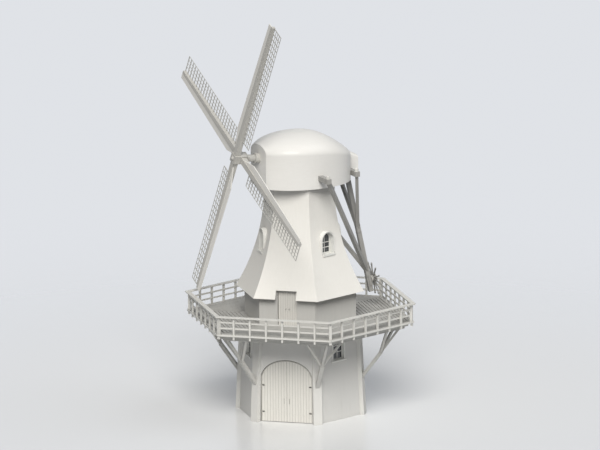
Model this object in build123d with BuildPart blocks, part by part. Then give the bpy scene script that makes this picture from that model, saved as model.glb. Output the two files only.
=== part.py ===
from build123d import *
from math import cos, pi, radians, sin, sqrt, tan
import os

# A six-sided smock mill: a battered base with cart doors front and back, a gallery on brackets,
# a smock with curved sides, a turning cap with four lattice sails, and a tail pole with its winch.
# Millimetres. The origin is the centre of the base on the ground and the front faces -Y.
# Azimuths are degrees from the front, towards +X. "Apothem" is the distance from the axis to a face.

# ---- Base ----
SIDES = 6
base_height = 5130.0
base_foot_radius = 3585.0
base_head_radius = 3330.0
base_wall = 300.0
ground_floor_height = 120.0
post_width = 490.0
post_foot_radius = 3670.0
post_head_radius = 3415.0

# ---- Cart doors ----
cart_opening_width = 2980.0
cart_spring_height = 2400.0
cart_arch_rise = 1110.0
cart_leaf_face = 2940.0
cart_leaf_thickness = 80.0
cart_leaf_gap = 30.0
cart_centre_gap = 4.0
cart_foot_gap = 25.0
strap_length = 190.0
strap_height = 70.0
strap_thickness = 12.0
hinge_axis_proud = 25.0
hinge_heights = (560.0, 2050.0)
knuckle_radius = 20.0
pintle_radius = 10.0
hinge_clearance = 0.3
pintle_clearance = 1.2
pull_height = 1200.0
pull_length = 260.0
pull_standoff = 45.0
pull_bar = 26.0
pull_from_centre = 150.0

# ---- Windows ----
base_window_width = 820.0
base_window_foot = 3360.0
base_window_height = 1140.0
base_casing = 95.0
base_casing_proud = 12.0
base_casing_depth = 300.0
base_sill_height = 70.0
base_sill_proud = 63.0
base_glass_recess = 157.0
smock_window_width = 850.0
smock_window_above_skirt = 2240.0
smock_window_jamb = 780.0
smock_casing = 75.0
smock_casing_proud = -50.0
smock_casing_depth = 460.0
smock_sill_height = 90.0
smock_sill_proud = 120.0
smock_glass_recess = 330.0
glass_thickness = 14.0

# ---- Gallery ----
stage_floor_thickness = 250.0
gallery_wall_radius = 3180.0
gallery_wall_thickness = 180.0
gallery_wall_above_skirt = 650.0
gallery_door_width = 1100.0
gallery_door_lintel = 300.0
gallery_door_thickness = 60.0
gallery_door_recess = 110.0
gallery_door_gap = 22.0
deck_board = 50.0
deck_apothem = 5490.0
deck_mitre_gap = 12.0
joist_depth = 200.0
joist_width = 90.0
corner_beam_width = 150.0
edge_beam_width = 110.0
edge_beam_set_back = 160.0
girt_apothem = 5150.0
girt_width = 140.0
girt_depth = 160.0
bays_per_side = 7
rail_post_width = 100.0
rail_post_depth = 90.0
rail_post_drop = 10.0
corner_post_width = 150.0
top_rail_above_deck = 1030.0
top_rail_thickness = 60.0
top_rail_inner = 5440.0
top_rail_outer = 5700.0
mid_rail_depth = 35.0
mid_rail_height = 90.0
mid_rails_above_deck = (355.0, 685.0)
band_thickness = 30.0
band_height = 100.0
band_below_deck = 80.0
rail_mitre_gap = 3.0

# ---- Gallery brackets ----
strut_foot_radius = 3480.0
strut_foot_height = 2090.0
fork_radius = 4550.0
fork_height = 3500.0
strut_width = 220.0
strut_depth = 190.0
arm_width = 130.0
arm_depth = 120.0
radial_arm_reach = 5760.0
side_arm_offset = 1700.0

# ---- Smock ----
skirt_height = 6950.0
skirt_radius = 3650.0
smock_top_height = 13050.0
smock_top_radius = 2000.0
smock_curve_radius = 12600.0
smock_wall = 140.0
notch_width = 1180.0
notch_above_skirt = 470.0
smock_floor_above_skirt = 1500.0
smock_floor_thickness = 150.0
curb_radius = 1720.0
curb_width = 280.0
curb_depth = 200.0

# ---- Cap ----
cap_azimuth = -49.2
cap_skirt = 100.0
cap_half_width = 2200.0
cap_front = 2500.0
cap_front_half_width = 970.0
cap_rear = 2700.0
cap_rear_half_width = 900.0
cap_wall = 80.0
curb_clearance = 0.3
cap_floor_thickness = 160.0
# Each station: its distance forward of the axis, then its ridge and its springing above the cap's foot.
cap_stations = (
    (cap_front, 2350.0, 1900.0),
    (2000.0, 2550.0, 1920.0),
    (1300.0, 2755.0, 1930.0),
    (400.0, 2865.0, 1920.0),
    (-500.0, 2850.0, 1870.0),
    (-1400.0, 2590.0, 1740.0),
    (-2100.0, 2180.0, 1570.0),
    (-cap_rear, 1730.0, 1400.0),
)
bay_length = 700.0
bay_width = 820.0
bay_above_cap_foot = 260.0
bay_eaves_rise = (1120.0, 830.0)
bay_ridge_rise = (1350.0, 990.0)

# ---- Tail ----
beam_section = 280.0
long_beam_forward = -230.0
long_beam_half_length = 3300.0
short_beam_half_length = 1500.0
pole_section = 240.0
pole_set_back = 20.0
pole_foot_back = 4330.0
pole_below_winch = 660.0
long_brace_section = 200.0
long_brace_above_winch = 540.0
long_brace_inset = 140.0
long_brace_short_of_middle = 60.0
short_brace_section = 175.0
short_brace_drop = 3300.0
short_brace_inset = 130.0
brace_parting = 6.0

# ---- Winch ----
winch_height = 6960.0
winch_radius = 950.0
winch_spokes = 12
winch_first_spoke = 10
winch_spoke = 60.0
winch_hub_radius = 190.0
winch_hub_length = 330.0
winch_gap = 15.0
axle_radius = 45.0
axle_clearance = 0.3
cheek_thickness = 35.0
cheek_depth = 150.0
cheek_proud = 40.0
cheek_below_winch = 300.0
cheek_above_winch = 300.0

# ---- Sails ----
shaft_tilt = 5.6
hub_forward = 3510.0
hub_above_cap_foot = 1680.0
shaft_radius = 200.0
shaft_tail = 2600.0
poll_width = 490.0
poll_tail = 280.0
poll_nose = 560.0
stock_spacing = 370.0
neck_radius = 290.0
neck_tail = 1180.0
neck_length = 430.0
neck_clearance = 0.3
sail_angle = 67.6
sail_radius = 8590.0
stock_depth = 300.0
stock_tip_depth = 200.0
stock_width = 340.0
stock_tip_width = 180.0
board_start = 500.0
board_full_width_at = 1650.0
board_width = 400.0
board_tip_width = 275.0
board_thickness = 50.0
lattice_start = 1180.0
lattice_width = 880.0
lattice_bars = 24
lattice_bar = 45.0
lattice_laths = 4
lattice_lath = 20.0
lattice_thickness = 30.0
lattice_set_back = 30.0

half_side = tan(pi / SIDES)
to_apothem = cos(pi / SIDES)
half_turn = 180
quarter_turn = half_turn / 2
side_turn = 2 * half_turn / SIDES
side_names = ("front", "right_front", "right_back", "back", "left_back", "left_front")
face_names = {side_turn * k: name for k, name in enumerate(side_names)}
door_faces = [azimuth for azimuth, name in face_names.items() if name in ("front", "back")]
window_faces = [azimuth for azimuth in face_names if azimuth not in door_faces]
corner_azimuths = [azimuth + side_turn / 2 for azimuth in face_names]
deck_top = base_height + stage_floor_thickness
top_rail_height = deck_top + top_rail_above_deck
band_foot = deck_top - band_below_deck
gallery_wall_top = skirt_height + gallery_wall_above_skirt
gallery_door_height = gallery_wall_top - gallery_door_lintel - deck_top
smock_floor_height = skirt_height + smock_floor_above_skirt
smock_window_foot = skirt_height + smock_window_above_skirt
smock_window_spring = smock_window_foot + smock_window_jamb
cap_foot = smock_top_height - cap_skirt
bay_foot = cap_foot + bay_above_cap_foot
hub_height = cap_foot + hub_above_cap_foot
joist_top = deck_top - deck_board
edge_beam_outer = deck_apothem - edge_beam_set_back
edge_beam_inner = edge_beam_outer - edge_beam_width
bay_pitch = (deck_apothem + rail_post_depth) * half_side * 2 / bays_per_side


# ---- Places on the tower ----
def outward(azimuth):
    """The level direction that points away from the axis at an azimuth."""
    return Vector(sin(radians(azimuth)), -cos(radians(azimuth)), 0)


def along_face(azimuth):
    """The level direction to the right along a face, seen from outside."""
    return Vector(cos(radians(azimuth)), sin(radians(azimuth)), 0)


def at(azimuth, radius, height, sideways=0.0):
    """A point at a distance from the axis, with an offset along the face."""
    return outward(azimuth) * radius + along_face(azimuth) * sideways + Vector(0, 0, height)


def plan(azimuth, height):
    """A level plane: its x runs to the right along the face, its y points to the axis."""
    return Plane(origin=(0, 0, height), x_dir=along_face(azimuth), z_dir=(0, 0, 1))


def elevation(azimuth, apothem):
    """An upright plane in front of a face: x to the right, y up, z outwards."""
    return Plane(origin=outward(azimuth) * apothem, x_dir=along_face(azimuth), z_dir=outward(azimuth))


def profile_plane(azimuth, sideways):
    """An upright plane across a wall: x outwards from the axis, y up."""
    return Plane(origin=along_face(azimuth) * sideways, x_dir=outward(azimuth), z_dir=-along_face(azimuth))


def base_radius(height):
    """Corner radius of the battered base at a height."""
    return base_foot_radius + (base_head_radius - base_foot_radius) * height / base_height


def smock_centre():
    """Centre of the arc that the faces of the smock follow, as apothem and height."""
    foot = Vector(skirt_radius * to_apothem, skirt_height)
    head = Vector(smock_top_radius * to_apothem, smock_top_height)
    chord = head - foot
    rise = sqrt(smock_curve_radius**2 - (chord.length / 2) ** 2)
    return (foot + head) * 0.5 + Vector(chord.Y, -chord.X).normalized() * rise


def smock_apothem(height, inset=0.0):
    """Apothem of the smock's face at a height, or of a face inset behind it."""
    centre = smock_centre()
    return centre.X - sqrt((smock_curve_radius + inset) ** 2 - (height - centre.Y) ** 2)


base_casing_face = base_radius(base_window_foot) * to_apothem + base_casing_proud
base_sill_face = base_casing_face + base_sill_proud
base_glass_face = base_casing_face - base_glass_recess
smock_casing_face = smock_apothem(smock_window_foot) + smock_casing_proud
smock_sill_face = smock_casing_face + smock_sill_proud
smock_glass_face = smock_casing_face - smock_glass_recess


# ---- Shapes used again ----
def side_outline(outer, inner, gap=0.0, mode=Mode.ADD):
    """Plan of one side of a six-sided ring, mitred at its corners and short of them by a gap."""
    Polygon(
        (-outer * half_side + gap, -outer),
        (outer * half_side - gap, -outer),
        (inner * half_side - gap, -inner),
        (-inner * half_side + gap, -inner),
        align=None,
        mode=mode,
    )


def side_bar(azimuth, outer, inner, foot, head, gap=0.0):
    """One upright-sided bar of a six-sided ring."""
    with BuildSketch(plan(azimuth, foot)) as outline:
        side_outline(outer, inner, gap)
    extrude(outline.sketch, amount=head - foot)


def battered_side(azimuth, foot, head):
    """One side of the base wall between two heights."""
    sections = []
    for height in (foot, head):
        apothem = base_radius(height) * to_apothem
        with BuildSketch(plan(azimuth, height)) as section:
            side_outline(apothem, apothem - base_wall)
        sections.append(section.sketch)
    loft(sections, ruled=True)


def battered_core(inset, foot, head, mode=Mode.ADD):
    """The six-sided battered body of the base, inset from its outer faces."""
    sections = []
    for height in (foot, head):
        with BuildSketch(Plane.XY.offset(height)) as section:
            RegularPolygon(base_radius(height) - inset / to_apothem, SIDES)
        sections.append(section.sketch)
    loft(sections, ruled=True, mode=mode)


def hexagon_prism(radius, foot, head, mode=Mode.ADD):
    """A six-sided prism with its corners at a radius."""
    with BuildSketch(Plane.XY.offset(foot)) as outline:
        RegularPolygon(radius, SIDES)
    extrude(outline.sketch, amount=head - foot, mode=mode)


def arched_outline(half_width, foot, spring, rise):
    """An upright opening with an elliptical head."""
    with BuildLine() as edge:
        Polyline((-half_width, spring), (-half_width, foot), (half_width, foot), (half_width, spring))
        EllipticalCenterArc((0, spring), half_width, rise, arc_size=half_turn)
    make_face(edge.edges())


def panel(azimuth, inner, outer, draw, mode=Mode.ADD):
    """Draws an outline on a face's elevation and carries it from one apothem to another."""
    with BuildSketch(elevation(azimuth, inner)) as outline:
        draw()
    extrude(outline.sketch, amount=outer - inner, mode=mode)


def beam(start, end, width, depth, side=None):
    """A straight beam of rectangular section; its width lies along the side direction."""
    run = Vector(end) - Vector(start)
    across = side if side is not None else Vector(0, 0, 1).cross(run)
    with BuildSketch(Plane(origin=start, x_dir=across, z_dir=run)) as section:
        Rectangle(width, depth)
    extrude(section.sketch, amount=run.length)


def save(piece, name):
    """Labels a piece and writes its file."""
    piece.part.label = name
    export_step(piece.part, f"parts/{name}.step")


os.makedirs("parts", exist_ok=True)


# ---- Base walls ----
def cart_opening():
    arched_outline(cart_opening_width / 2, -1.0, cart_spring_height, cart_arch_rise)


def base_casing_outline():
    with Locations((0, base_window_foot + base_window_height / 2)):
        Rectangle(base_window_width + 2 * base_casing, base_window_height + 2 * base_casing)


def base_sill():
    with Locations((0, base_window_foot - base_casing)):
        Rectangle(base_window_width + 3 * base_casing, base_sill_height, align=(Align.CENTER, Align.MIN))


def base_light():
    with Locations((0, base_window_foot + base_window_height / 2)):
        Rectangle(base_window_width, base_window_height)


with BuildPart() as walls_over_doors:
    for azimuth in door_faces:
        battered_side(azimuth, cart_spring_height, base_height)
        panel(azimuth, 0, base_foot_radius, cart_opening, mode=Mode.SUBTRACT)
save(walls_over_doors, "walls_over_cart_doors")

with BuildPart() as door_piers:
    for azimuth in door_faces:
        battered_side(azimuth, 0, cart_spring_height)
        panel(azimuth, 0, base_foot_radius, cart_opening, mode=Mode.SUBTRACT)
save(door_piers, "cart_door_piers")

for azimuth in window_faces:
    with BuildPart() as base_side:
        battered_side(azimuth, 0, base_height)
        panel(azimuth, 0, base_foot_radius, base_casing_outline, mode=Mode.SUBTRACT)
    save(base_side, f"base_wall_{face_names[azimuth]}")

with BuildPart() as corner_posts:
    for azimuth in corner_azimuths:
        for height, radius in ((0, post_foot_radius), (base_height, post_head_radius)):
            with BuildSketch(plan(azimuth, height)):
                with Locations((0, -radius)):
                    Rectangle(post_width, radius, align=(Align.CENTER, Align.MIN))
        loft(ruled=True)
    battered_core(0, 0, base_height, mode=Mode.SUBTRACT)
save(corner_posts, "corner_posts")

with BuildPart() as ground_floor:
    battered_core(base_wall, 0, ground_floor_height)
save(ground_floor, "ground_floor")

with BuildPart() as base_casings:
    for azimuth in window_faces:
        casing_back = base_casing_face - base_casing_depth
        panel(azimuth, casing_back, base_casing_face, base_casing_outline)
        panel(azimuth, casing_back, base_casing_face, base_light, mode=Mode.SUBTRACT)
        panel(azimuth, base_radius(base_window_foot - base_casing) * to_apothem, base_sill_face, base_sill)
save(base_casings, "base_window_casings")


# ---- Cart-door leaves and their hinges ----
hinge_side = cart_opening_width / 2 - cart_leaf_gap
hinge_face = cart_leaf_face + hinge_axis_proud


def leaf_outline():
    arched_outline(hinge_side, cart_foot_gap, cart_spring_height, cart_arch_rise - cart_leaf_gap)


def cart_leaf(azimuth, hand):
    """One leaf, hung at the right of its doorway for hand +1 and at the left for -1."""
    panel(azimuth, cart_leaf_face - cart_leaf_thickness, cart_leaf_face, leaf_outline)
    with BuildSketch(elevation(azimuth, 0)) as other_half:
        with Locations((hand * (cart_centre_gap - hinge_side), 0)):
            Rectangle(2 * hinge_side, 2 * base_height)
    extrude(other_half.sketch, amount=base_foot_radius, mode=Mode.SUBTRACT)
    for height in hinge_heights:
        with BuildSketch(elevation(azimuth, cart_leaf_face)) as strap:
            with Locations((hand * (hinge_side - strap_length / 2), height)):
                Rectangle(strap_length, strap_height)
        extrude(strap.sketch, amount=strap_thickness)
        knuckle_foot = height - strap_height / 2
        with BuildSketch(plan(azimuth, knuckle_foot)) as knuckle:
            with Locations((hand * hinge_side, -hinge_face)):
                Circle(knuckle_radius)
                with Locations((-hand * knuckle_radius, 0)):
                    Rectangle(2 * knuckle_radius, 2 * hinge_axis_proud, align=(Align.CENTER, Align.MIN))
        extrude(knuckle.sketch, amount=strap_height)
        with BuildSketch(plan(azimuth, knuckle_foot)) as bore:
            with Locations((hand * hinge_side, -hinge_face)):
                Circle(pintle_radius + pintle_clearance)
        extrude(bore.sketch, amount=strap_height, mode=Mode.SUBTRACT)
    pull_from_leaf = (Align.MIN, Align.CENTER)
    with BuildSketch(profile_plane(azimuth, hand * pull_from_centre)) as pull:
        with Locations((cart_leaf_face, pull_height)):
            Rectangle(pull_standoff + pull_bar, pull_length, align=pull_from_leaf)
            Rectangle(pull_standoff, pull_length - 2 * pull_bar, align=pull_from_leaf, mode=Mode.SUBTRACT)
    extrude(pull.sketch, amount=pull_bar / 2, both=True)


for azimuth in door_faces:
    for hand, hand_name in ((-1, "left"), (1, "right")):
        with BuildPart() as leaf:
            cart_leaf(azimuth, hand)
        save(leaf, f"cart_door_{face_names[azimuth]}_{hand_name}")

with BuildPart() as pintles:
    for azimuth in door_faces:
        for hand in (-1, 1):
            for height in hinge_heights:
                seat = height - strap_height / 2 - hinge_clearance
                lug_middle = hinge_side + cart_leaf_gap / 2
                with BuildSketch(plan(azimuth, seat - knuckle_radius)) as lug:
                    with Locations((hand * lug_middle, -hinge_face)):
                        Rectangle(cart_leaf_gap, 2 * knuckle_radius)
                    with Locations((hand * hinge_side, -hinge_face)):
                        Circle(knuckle_radius)
                extrude(lug.sketch, amount=knuckle_radius)
                with BuildSketch(plan(azimuth, seat)) as pin:
                    with Locations((hand * hinge_side, -hinge_face)):
                        Circle(pintle_radius)
                extrude(pin.sketch, amount=strap_height)
save(pintles, "cart_door_pintles")


# ---- Floors and the wall above the gallery ----
with BuildPart() as stage_floor:
    hexagon_prism(base_head_radius, base_height, deck_top)
save(stage_floor, "stage_floor")

gallery_wall_face = gallery_wall_radius * to_apothem
gallery_wall_back = gallery_wall_face - gallery_wall_thickness


def gallery_doorway(gap=0.0):
    with Locations((0, deck_top)):
        Rectangle(gallery_door_width - 2 * gap, gallery_door_height, align=(Align.CENTER, Align.MIN))


def gallery_door():
    gallery_doorway(gallery_door_gap)


for azimuth in door_faces:
    with BuildPart() as door_wall:
        side_bar(azimuth, gallery_wall_face, gallery_wall_back, deck_top, gallery_wall_top)
        panel(azimuth, 0, gallery_wall_radius, gallery_doorway, mode=Mode.SUBTRACT)
    save(door_wall, f"gallery_wall_{face_names[azimuth]}")

for side_name, pair in (("right", (60, 120)), ("left", (240, 300))):
    with BuildPart() as side_wall:
        for azimuth in pair:
            side_bar(azimuth, gallery_wall_face, gallery_wall_back, deck_top, gallery_wall_top)
    save(side_wall, f"gallery_wall_{side_name}")

with BuildPart() as gallery_doors:
    for azimuth in door_faces:
        door_face = gallery_wall_face - gallery_door_recess
        panel(azimuth, door_face - gallery_door_thickness, door_face, gallery_door)
save(gallery_doors, "gallery_doors")


# ---- Smock ----
def smock_profile():
    """The wall of the smock cut square across a face: outer arc, head, inner arc, foot."""
    levels = (skirt_height, (skirt_height + smock_top_height) / 2, smock_top_height)
    outer_foot, outer_middle, outer_head = [(smock_apothem(level), level) for level in levels]
    inner_foot, inner_middle, inner_head = [(smock_apothem(level, smock_wall), level) for level in levels]
    with BuildLine() as edge:
        ThreePointArc(outer_foot, outer_middle, outer_head)
        Line(outer_head, inner_head)
        ThreePointArc(inner_head, inner_middle, inner_foot)
        Line(inner_foot, outer_foot)
    make_face(edge.edges())
    Rectangle(gallery_wall_face, gallery_wall_top, align=(Align.MIN, Align.MIN), mode=Mode.SUBTRACT)


def smock_casing_outline():
    spread = smock_window_width / 2 + smock_casing
    arched_outline(spread, smock_window_foot - smock_casing, smock_window_spring, spread)


def smock_light():
    arched_outline(smock_window_width / 2, smock_window_foot, smock_window_spring, smock_window_width / 2)


def smock_sill():
    with Locations((0, smock_window_foot - smock_casing)):
        Rectangle(smock_window_width + smock_casing, smock_sill_height, align=(Align.CENTER, Align.MIN))


def skirt_notch():
    with Locations((0, skirt_height + notch_above_skirt)):
        Rectangle(notch_width, skirt_height, align=(Align.CENTER, Align.MAX))


for azimuth, face_name in face_names.items():
    with BuildPart() as smock_side:
        with BuildSketch(profile_plane(azimuth, 0)):
            smock_profile()
        extrude(amount=skirt_radius, both=True)
        with BuildSketch(plan(azimuth, 0)):
            side_outline(skirt_radius / half_side, 0)
        extrude(amount=smock_top_height, mode=Mode.INTERSECT)
        if azimuth in door_faces:
            panel(azimuth, 0, skirt_radius, skirt_notch, mode=Mode.SUBTRACT)
        else:
            panel(azimuth, 0, skirt_radius, smock_casing_outline, mode=Mode.SUBTRACT)
    save(smock_side, f"smock_{face_name}")

with BuildPart() as smock_casings:
    for azimuth in window_faces:
        casing_back = smock_casing_face - smock_casing_depth
        panel(azimuth, casing_back, smock_casing_face, smock_casing_outline)
        panel(azimuth, smock_casing_face, smock_sill_face, smock_sill)
        panel(azimuth, casing_back, smock_casing_face, smock_light, mode=Mode.SUBTRACT)
save(smock_casings, "smock_window_casings")

with BuildPart() as glass:
    for azimuth in window_faces:
        panel(azimuth, base_glass_face - glass_thickness, base_glass_face, base_light)
        panel(azimuth, smock_glass_face - glass_thickness, smock_glass_face, smock_light)
save(glass, "window_glass")

with BuildPart() as smock_floor:
    floor_radius = smock_apothem(smock_floor_height, smock_wall) / to_apothem
    hexagon_prism(floor_radius, smock_floor_height - smock_floor_thickness, smock_floor_height)
save(smock_floor, "smock_floor")

with BuildPart() as curb:
    with BuildSketch(Plane.XY.offset(smock_top_height)):
        Circle(curb_radius)
        Circle(curb_radius - curb_width, mode=Mode.SUBTRACT)
    extrude(amount=curb_depth)
save(curb, "curb")


# ---- Gallery ----
post_offsets = [bay_pitch * (k - (bays_per_side - 1) / 2 + 0.5) for k in range(bays_per_side - 1)]
stage_apothem = base_head_radius * to_apothem


with BuildPart() as deck:
    for azimuth in face_names:
        side_bar(azimuth, deck_apothem, stage_apothem, joist_top, deck_top, deck_mitre_gap / 2)
save(deck, "gallery_deck")

with BuildPart() as corner_beams:
    with BuildSketch(Plane.XY.offset(base_height)):
        with PolarLocations(0, SIDES):
            Rectangle(2 * deck_apothem, corner_beam_width, align=(Align.MIN, Align.CENTER))
        RegularPolygon(edge_beam_inner / to_apothem, SIDES, mode=Mode.INTERSECT)
        RegularPolygon(base_head_radius, SIDES, mode=Mode.SUBTRACT)
    extrude(amount=joist_depth)
save(corner_beams, "gallery_corner_beams")

corner_beam_gap = corner_beam_width / 2 / to_apothem
with BuildPart() as joists:
    for azimuth in face_names:
        with BuildSketch(plan(azimuth, base_height)):
            with Locations(*[(offset, -edge_beam_inner) for offset in post_offsets]):
                Rectangle(joist_width, edge_beam_inner, align=(Align.CENTER, Align.MIN))
            side_outline(edge_beam_inner, stage_apothem, corner_beam_gap, mode=Mode.INTERSECT)
        extrude(amount=joist_depth)
save(joists, "gallery_joists")

with BuildPart() as edge_beams:
    for azimuth in face_names:
        side_bar(azimuth, edge_beam_outer, edge_beam_inner, base_height, joist_top, rail_mitre_gap)
save(edge_beams, "gallery_edge_beams")

girt_foot = base_height - girt_depth
with BuildPart() as girts:
    for azimuth in face_names:
        side_bar(azimuth, girt_apothem, girt_apothem - girt_width, girt_foot, base_height, rail_mitre_gap)
save(girts, "gallery_girts")

with BuildPart() as brackets:
    for azimuth in corner_azimuths:
        foot = at(azimuth, strut_foot_radius, strut_foot_height)
        fork = at(azimuth, fork_radius, fork_height)
        beam(foot, fork + (fork - foot).normalized() * arm_depth / 2, strut_width, strut_depth)
        beam(fork, at(azimuth, radial_arm_reach, base_height), arm_width, arm_depth)
        for hand in (-1, 1):
            seat_azimuth = azimuth + hand * side_turn / 2
            seat = at(seat_azimuth, girt_apothem - girt_width / 2, base_height, -hand * side_arm_offset)
            beam(fork, seat, arm_width, arm_depth)
    hexagon_prism(radial_arm_reach * 2, girt_foot, base_height * 2, mode=Mode.SUBTRACT)
    battered_core(0, 0, base_height, mode=Mode.SUBTRACT)
    add(corner_posts.part, mode=Mode.SUBTRACT)
save(brackets, "gallery_brackets")

rail_post_inner = deck_apothem
rail_post_outer = rail_post_inner + rail_post_depth
half_corner_post = corner_post_width / 2
corner_post_reach = (rail_post_outer - half_corner_post * sin(pi / SIDES)) / to_apothem - half_corner_post
post_foot = base_height - rail_post_drop
top_rail_foot = top_rail_height - top_rail_thickness
band_outer = rail_post_outer + band_thickness
mid_rail_inner = rail_post_inner - mid_rail_depth

with BuildPart() as rail_posts:
    with BuildSketch(Plane.XY.offset(post_foot)):
        with PolarLocations(corner_post_reach, SIDES):
            Rectangle(corner_post_width, corner_post_width)
    extrude(amount=top_rail_foot - post_foot)
    hexagon_prism(deck_apothem / to_apothem, post_foot, deck_top, mode=Mode.SUBTRACT)
save(rail_posts, "railing_corner_posts")

with BuildPart() as railing:
    for azimuth in face_names:
        with BuildSketch(plan(azimuth, post_foot)) as post_row:
            with Locations(*[(offset, -rail_post_inner) for offset in post_offsets]):
                Rectangle(rail_post_width, rail_post_depth, align=(Align.CENTER, Align.MAX))
        extrude(post_row.sketch, amount=top_rail_foot - post_foot)
        side_bar(azimuth, top_rail_outer, top_rail_inner, top_rail_foot, top_rail_height, rail_mitre_gap)
        side_bar(azimuth, band_outer, rail_post_outer, band_foot, band_foot + band_height, rail_mitre_gap)
        for rise in mid_rails_above_deck:
            mid_foot = deck_top + rise - mid_rail_height / 2
            mid_head = mid_foot + mid_rail_height
            side_bar(azimuth, rail_post_inner, mid_rail_inner, mid_foot, mid_head, rail_mitre_gap)
    add(rail_posts.part, mode=Mode.SUBTRACT)
save(railing, "gallery_railing")


# ---- Cap ----
cap_forward = outward(cap_azimuth)
cap_side = along_face(cap_azimuth)
floor_foot = smock_top_height + curb_depth + curb_clearance
floor_top = floor_foot + cap_floor_thickness


def cap_at(forward, sideways, height):
    """A point from its distance forward of the axis, its offset to the side and its height."""
    return cap_forward * forward + cap_side * sideways + Vector(0, 0, height)


def cap_section_plane(forward):
    """An upright plane across the cap: x to the side, y up, z forward."""
    return Plane(origin=cap_forward * forward, x_dir=cap_side, z_dir=cap_forward)


def cap_half_width_at(forward):
    """Half width of the cap's plan: part of an ellipse in front of the axis and another behind it."""
    ahead = forward > 0
    end, end_half_width = (cap_front, cap_front_half_width) if ahead else (cap_rear, cap_rear_half_width)
    share = 1 - (end_half_width / cap_half_width) ** 2
    return cap_half_width * sqrt(1 - share * (forward / end) ** 2)


def cap_body(inset, mode=Mode.ADD):
    """The cap as a solid through its stations, inset from its skin."""
    sections = []
    for forward, ridge, spring in cap_stations:
        half_width = cap_half_width_at(forward) - inset
        with BuildSketch(cap_section_plane(forward)) as section:
            arched_outline(half_width, cap_foot - inset, cap_foot + spring, ridge - inset - spring)
        sections.append(section.sketch)
    loft(sections, mode=mode)


def cap_slice(rear, front, foot, head, side=0):
    """Keeps the part of the cap between two cross planes and two levels, or one side of it."""
    low = -cap_half_width if side <= 0 else 0
    high = cap_half_width if side >= 0 else 0
    with BuildSketch(Plane(origin=(0, 0, foot), x_dir=cap_forward, z_dir=(0, 0, 1))) as keep:
        Polygon((rear, low), (front, low), (front, high), (rear, high), align=None)
    extrude(keep.sketch, amount=head - foot, mode=Mode.INTERSECT)


cap_head = cap_foot + max(ridge for forward, ridge, spring in cap_stations)
long_beam_level = floor_top + beam_section / 2
short_beam_back = cap_rear + beam_section / 2
short_beam_level = bay_foot + beam_section / 2


def cross_beam(forward, half_length, level):
    """A level beam across the cap."""
    left_end = cap_at(forward, -half_length, level)
    right_end = cap_at(forward, half_length, level)
    beam(left_end, right_end, beam_section, beam_section)


with BuildPart() as long_beam:
    cross_beam(long_beam_forward, long_beam_half_length, long_beam_level)
with BuildPart() as cross_beams:
    add(long_beam.part)
    cross_beam(-short_beam_back, short_beam_half_length, short_beam_level)
save(cross_beams, "cap_cross_beams")

for side, side_name in ((-1, "left"), (1, "right")):
    with BuildPart() as cap_half:
        cap_body(0)
        cap_body(cap_wall, mode=Mode.SUBTRACT)
        cap_slice(-cap_rear, cap_front, cap_foot, cap_head, side)
        add(long_beam.part, mode=Mode.SUBTRACT)
    save(cap_half, f"cap_{side_name}_shell")

shaft_direction = cap_forward * cos(radians(shaft_tilt)) + Vector(0, 0, sin(radians(shaft_tilt)))
hub = cap_at(hub_forward, 0, hub_height)


def shaft_plane(along, turn=0.0):
    """A plane square to the windshaft, turned about it: x across, z out of the mill."""
    across = cap_side * cos(radians(turn)) + shaft_direction.cross(cap_side) * sin(radians(turn))
    return Plane(origin=hub + shaft_direction * along, x_dir=across, z_dir=shaft_direction)


def disc(along, radius, length, mode=Mode.ADD):
    """A round of the windshaft's line."""
    with BuildSketch(shaft_plane(along)) as round_section:
        Circle(radius)
    extrude(round_section.sketch, amount=length, mode=mode)


with BuildPart() as cap_front_wall:
    cap_body(cap_wall)
    cap_slice(cap_front - cap_wall, cap_front, cap_foot, cap_head)
    disc(-2 * neck_tail, neck_radius, 4 * neck_tail, mode=Mode.SUBTRACT)
save(cap_front_wall, "cap_front_wall")

with BuildPart() as cap_rear_wall:
    cap_body(cap_wall)
    cap_slice(-cap_rear, cap_wall - cap_rear, cap_foot, cap_head)
save(cap_rear_wall, "cap_rear_wall")

with BuildPart() as cap_floor:
    cap_body(cap_wall)
    cap_slice(cap_wall - cap_rear, cap_front - cap_wall, floor_foot, floor_top)
save(cap_floor, "cap_floor")

with BuildPart() as neck_bearing:
    disc(-neck_tail, neck_radius, neck_length)
    disc(-neck_tail, shaft_radius + neck_clearance, neck_length, mode=Mode.SUBTRACT)
save(neck_bearing, "neck_bearing")

with BuildPart() as rear_bay:
    bay_sections = []
    for back, eaves, ridge in zip((cap_rear, cap_rear + bay_length), bay_eaves_rise, bay_ridge_rise):
        with BuildSketch(cap_section_plane(-back)) as bay_section:
            arched_outline(bay_width / 2, bay_foot, bay_foot + eaves, ridge - eaves)
        bay_sections.append(bay_section.sketch)
    loft(bay_sections, ruled=True)
    add(cross_beams.part, mode=Mode.SUBTRACT)
save(rear_bay, "cap_rear_bay")


# ---- Tail pole, braces and winch ----
pole_foot_height = winch_height - pole_below_winch
pole_head = cap_at(-short_beam_back - pole_set_back, 0, bay_foot)
pole_foot = cap_at(-pole_foot_back, 0, pole_foot_height)
pole_run = pole_head - pole_foot


def on_pole(height):
    """The point on the pole's centre line at a height."""
    return pole_foot + pole_run * ((height - pole_foot_height) / (pole_head.Z - pole_foot_height))


axle_plane = Plane(origin=on_pole(winch_height), x_dir=cap_side, z_dir=pole_run.cross(cap_side))

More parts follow.
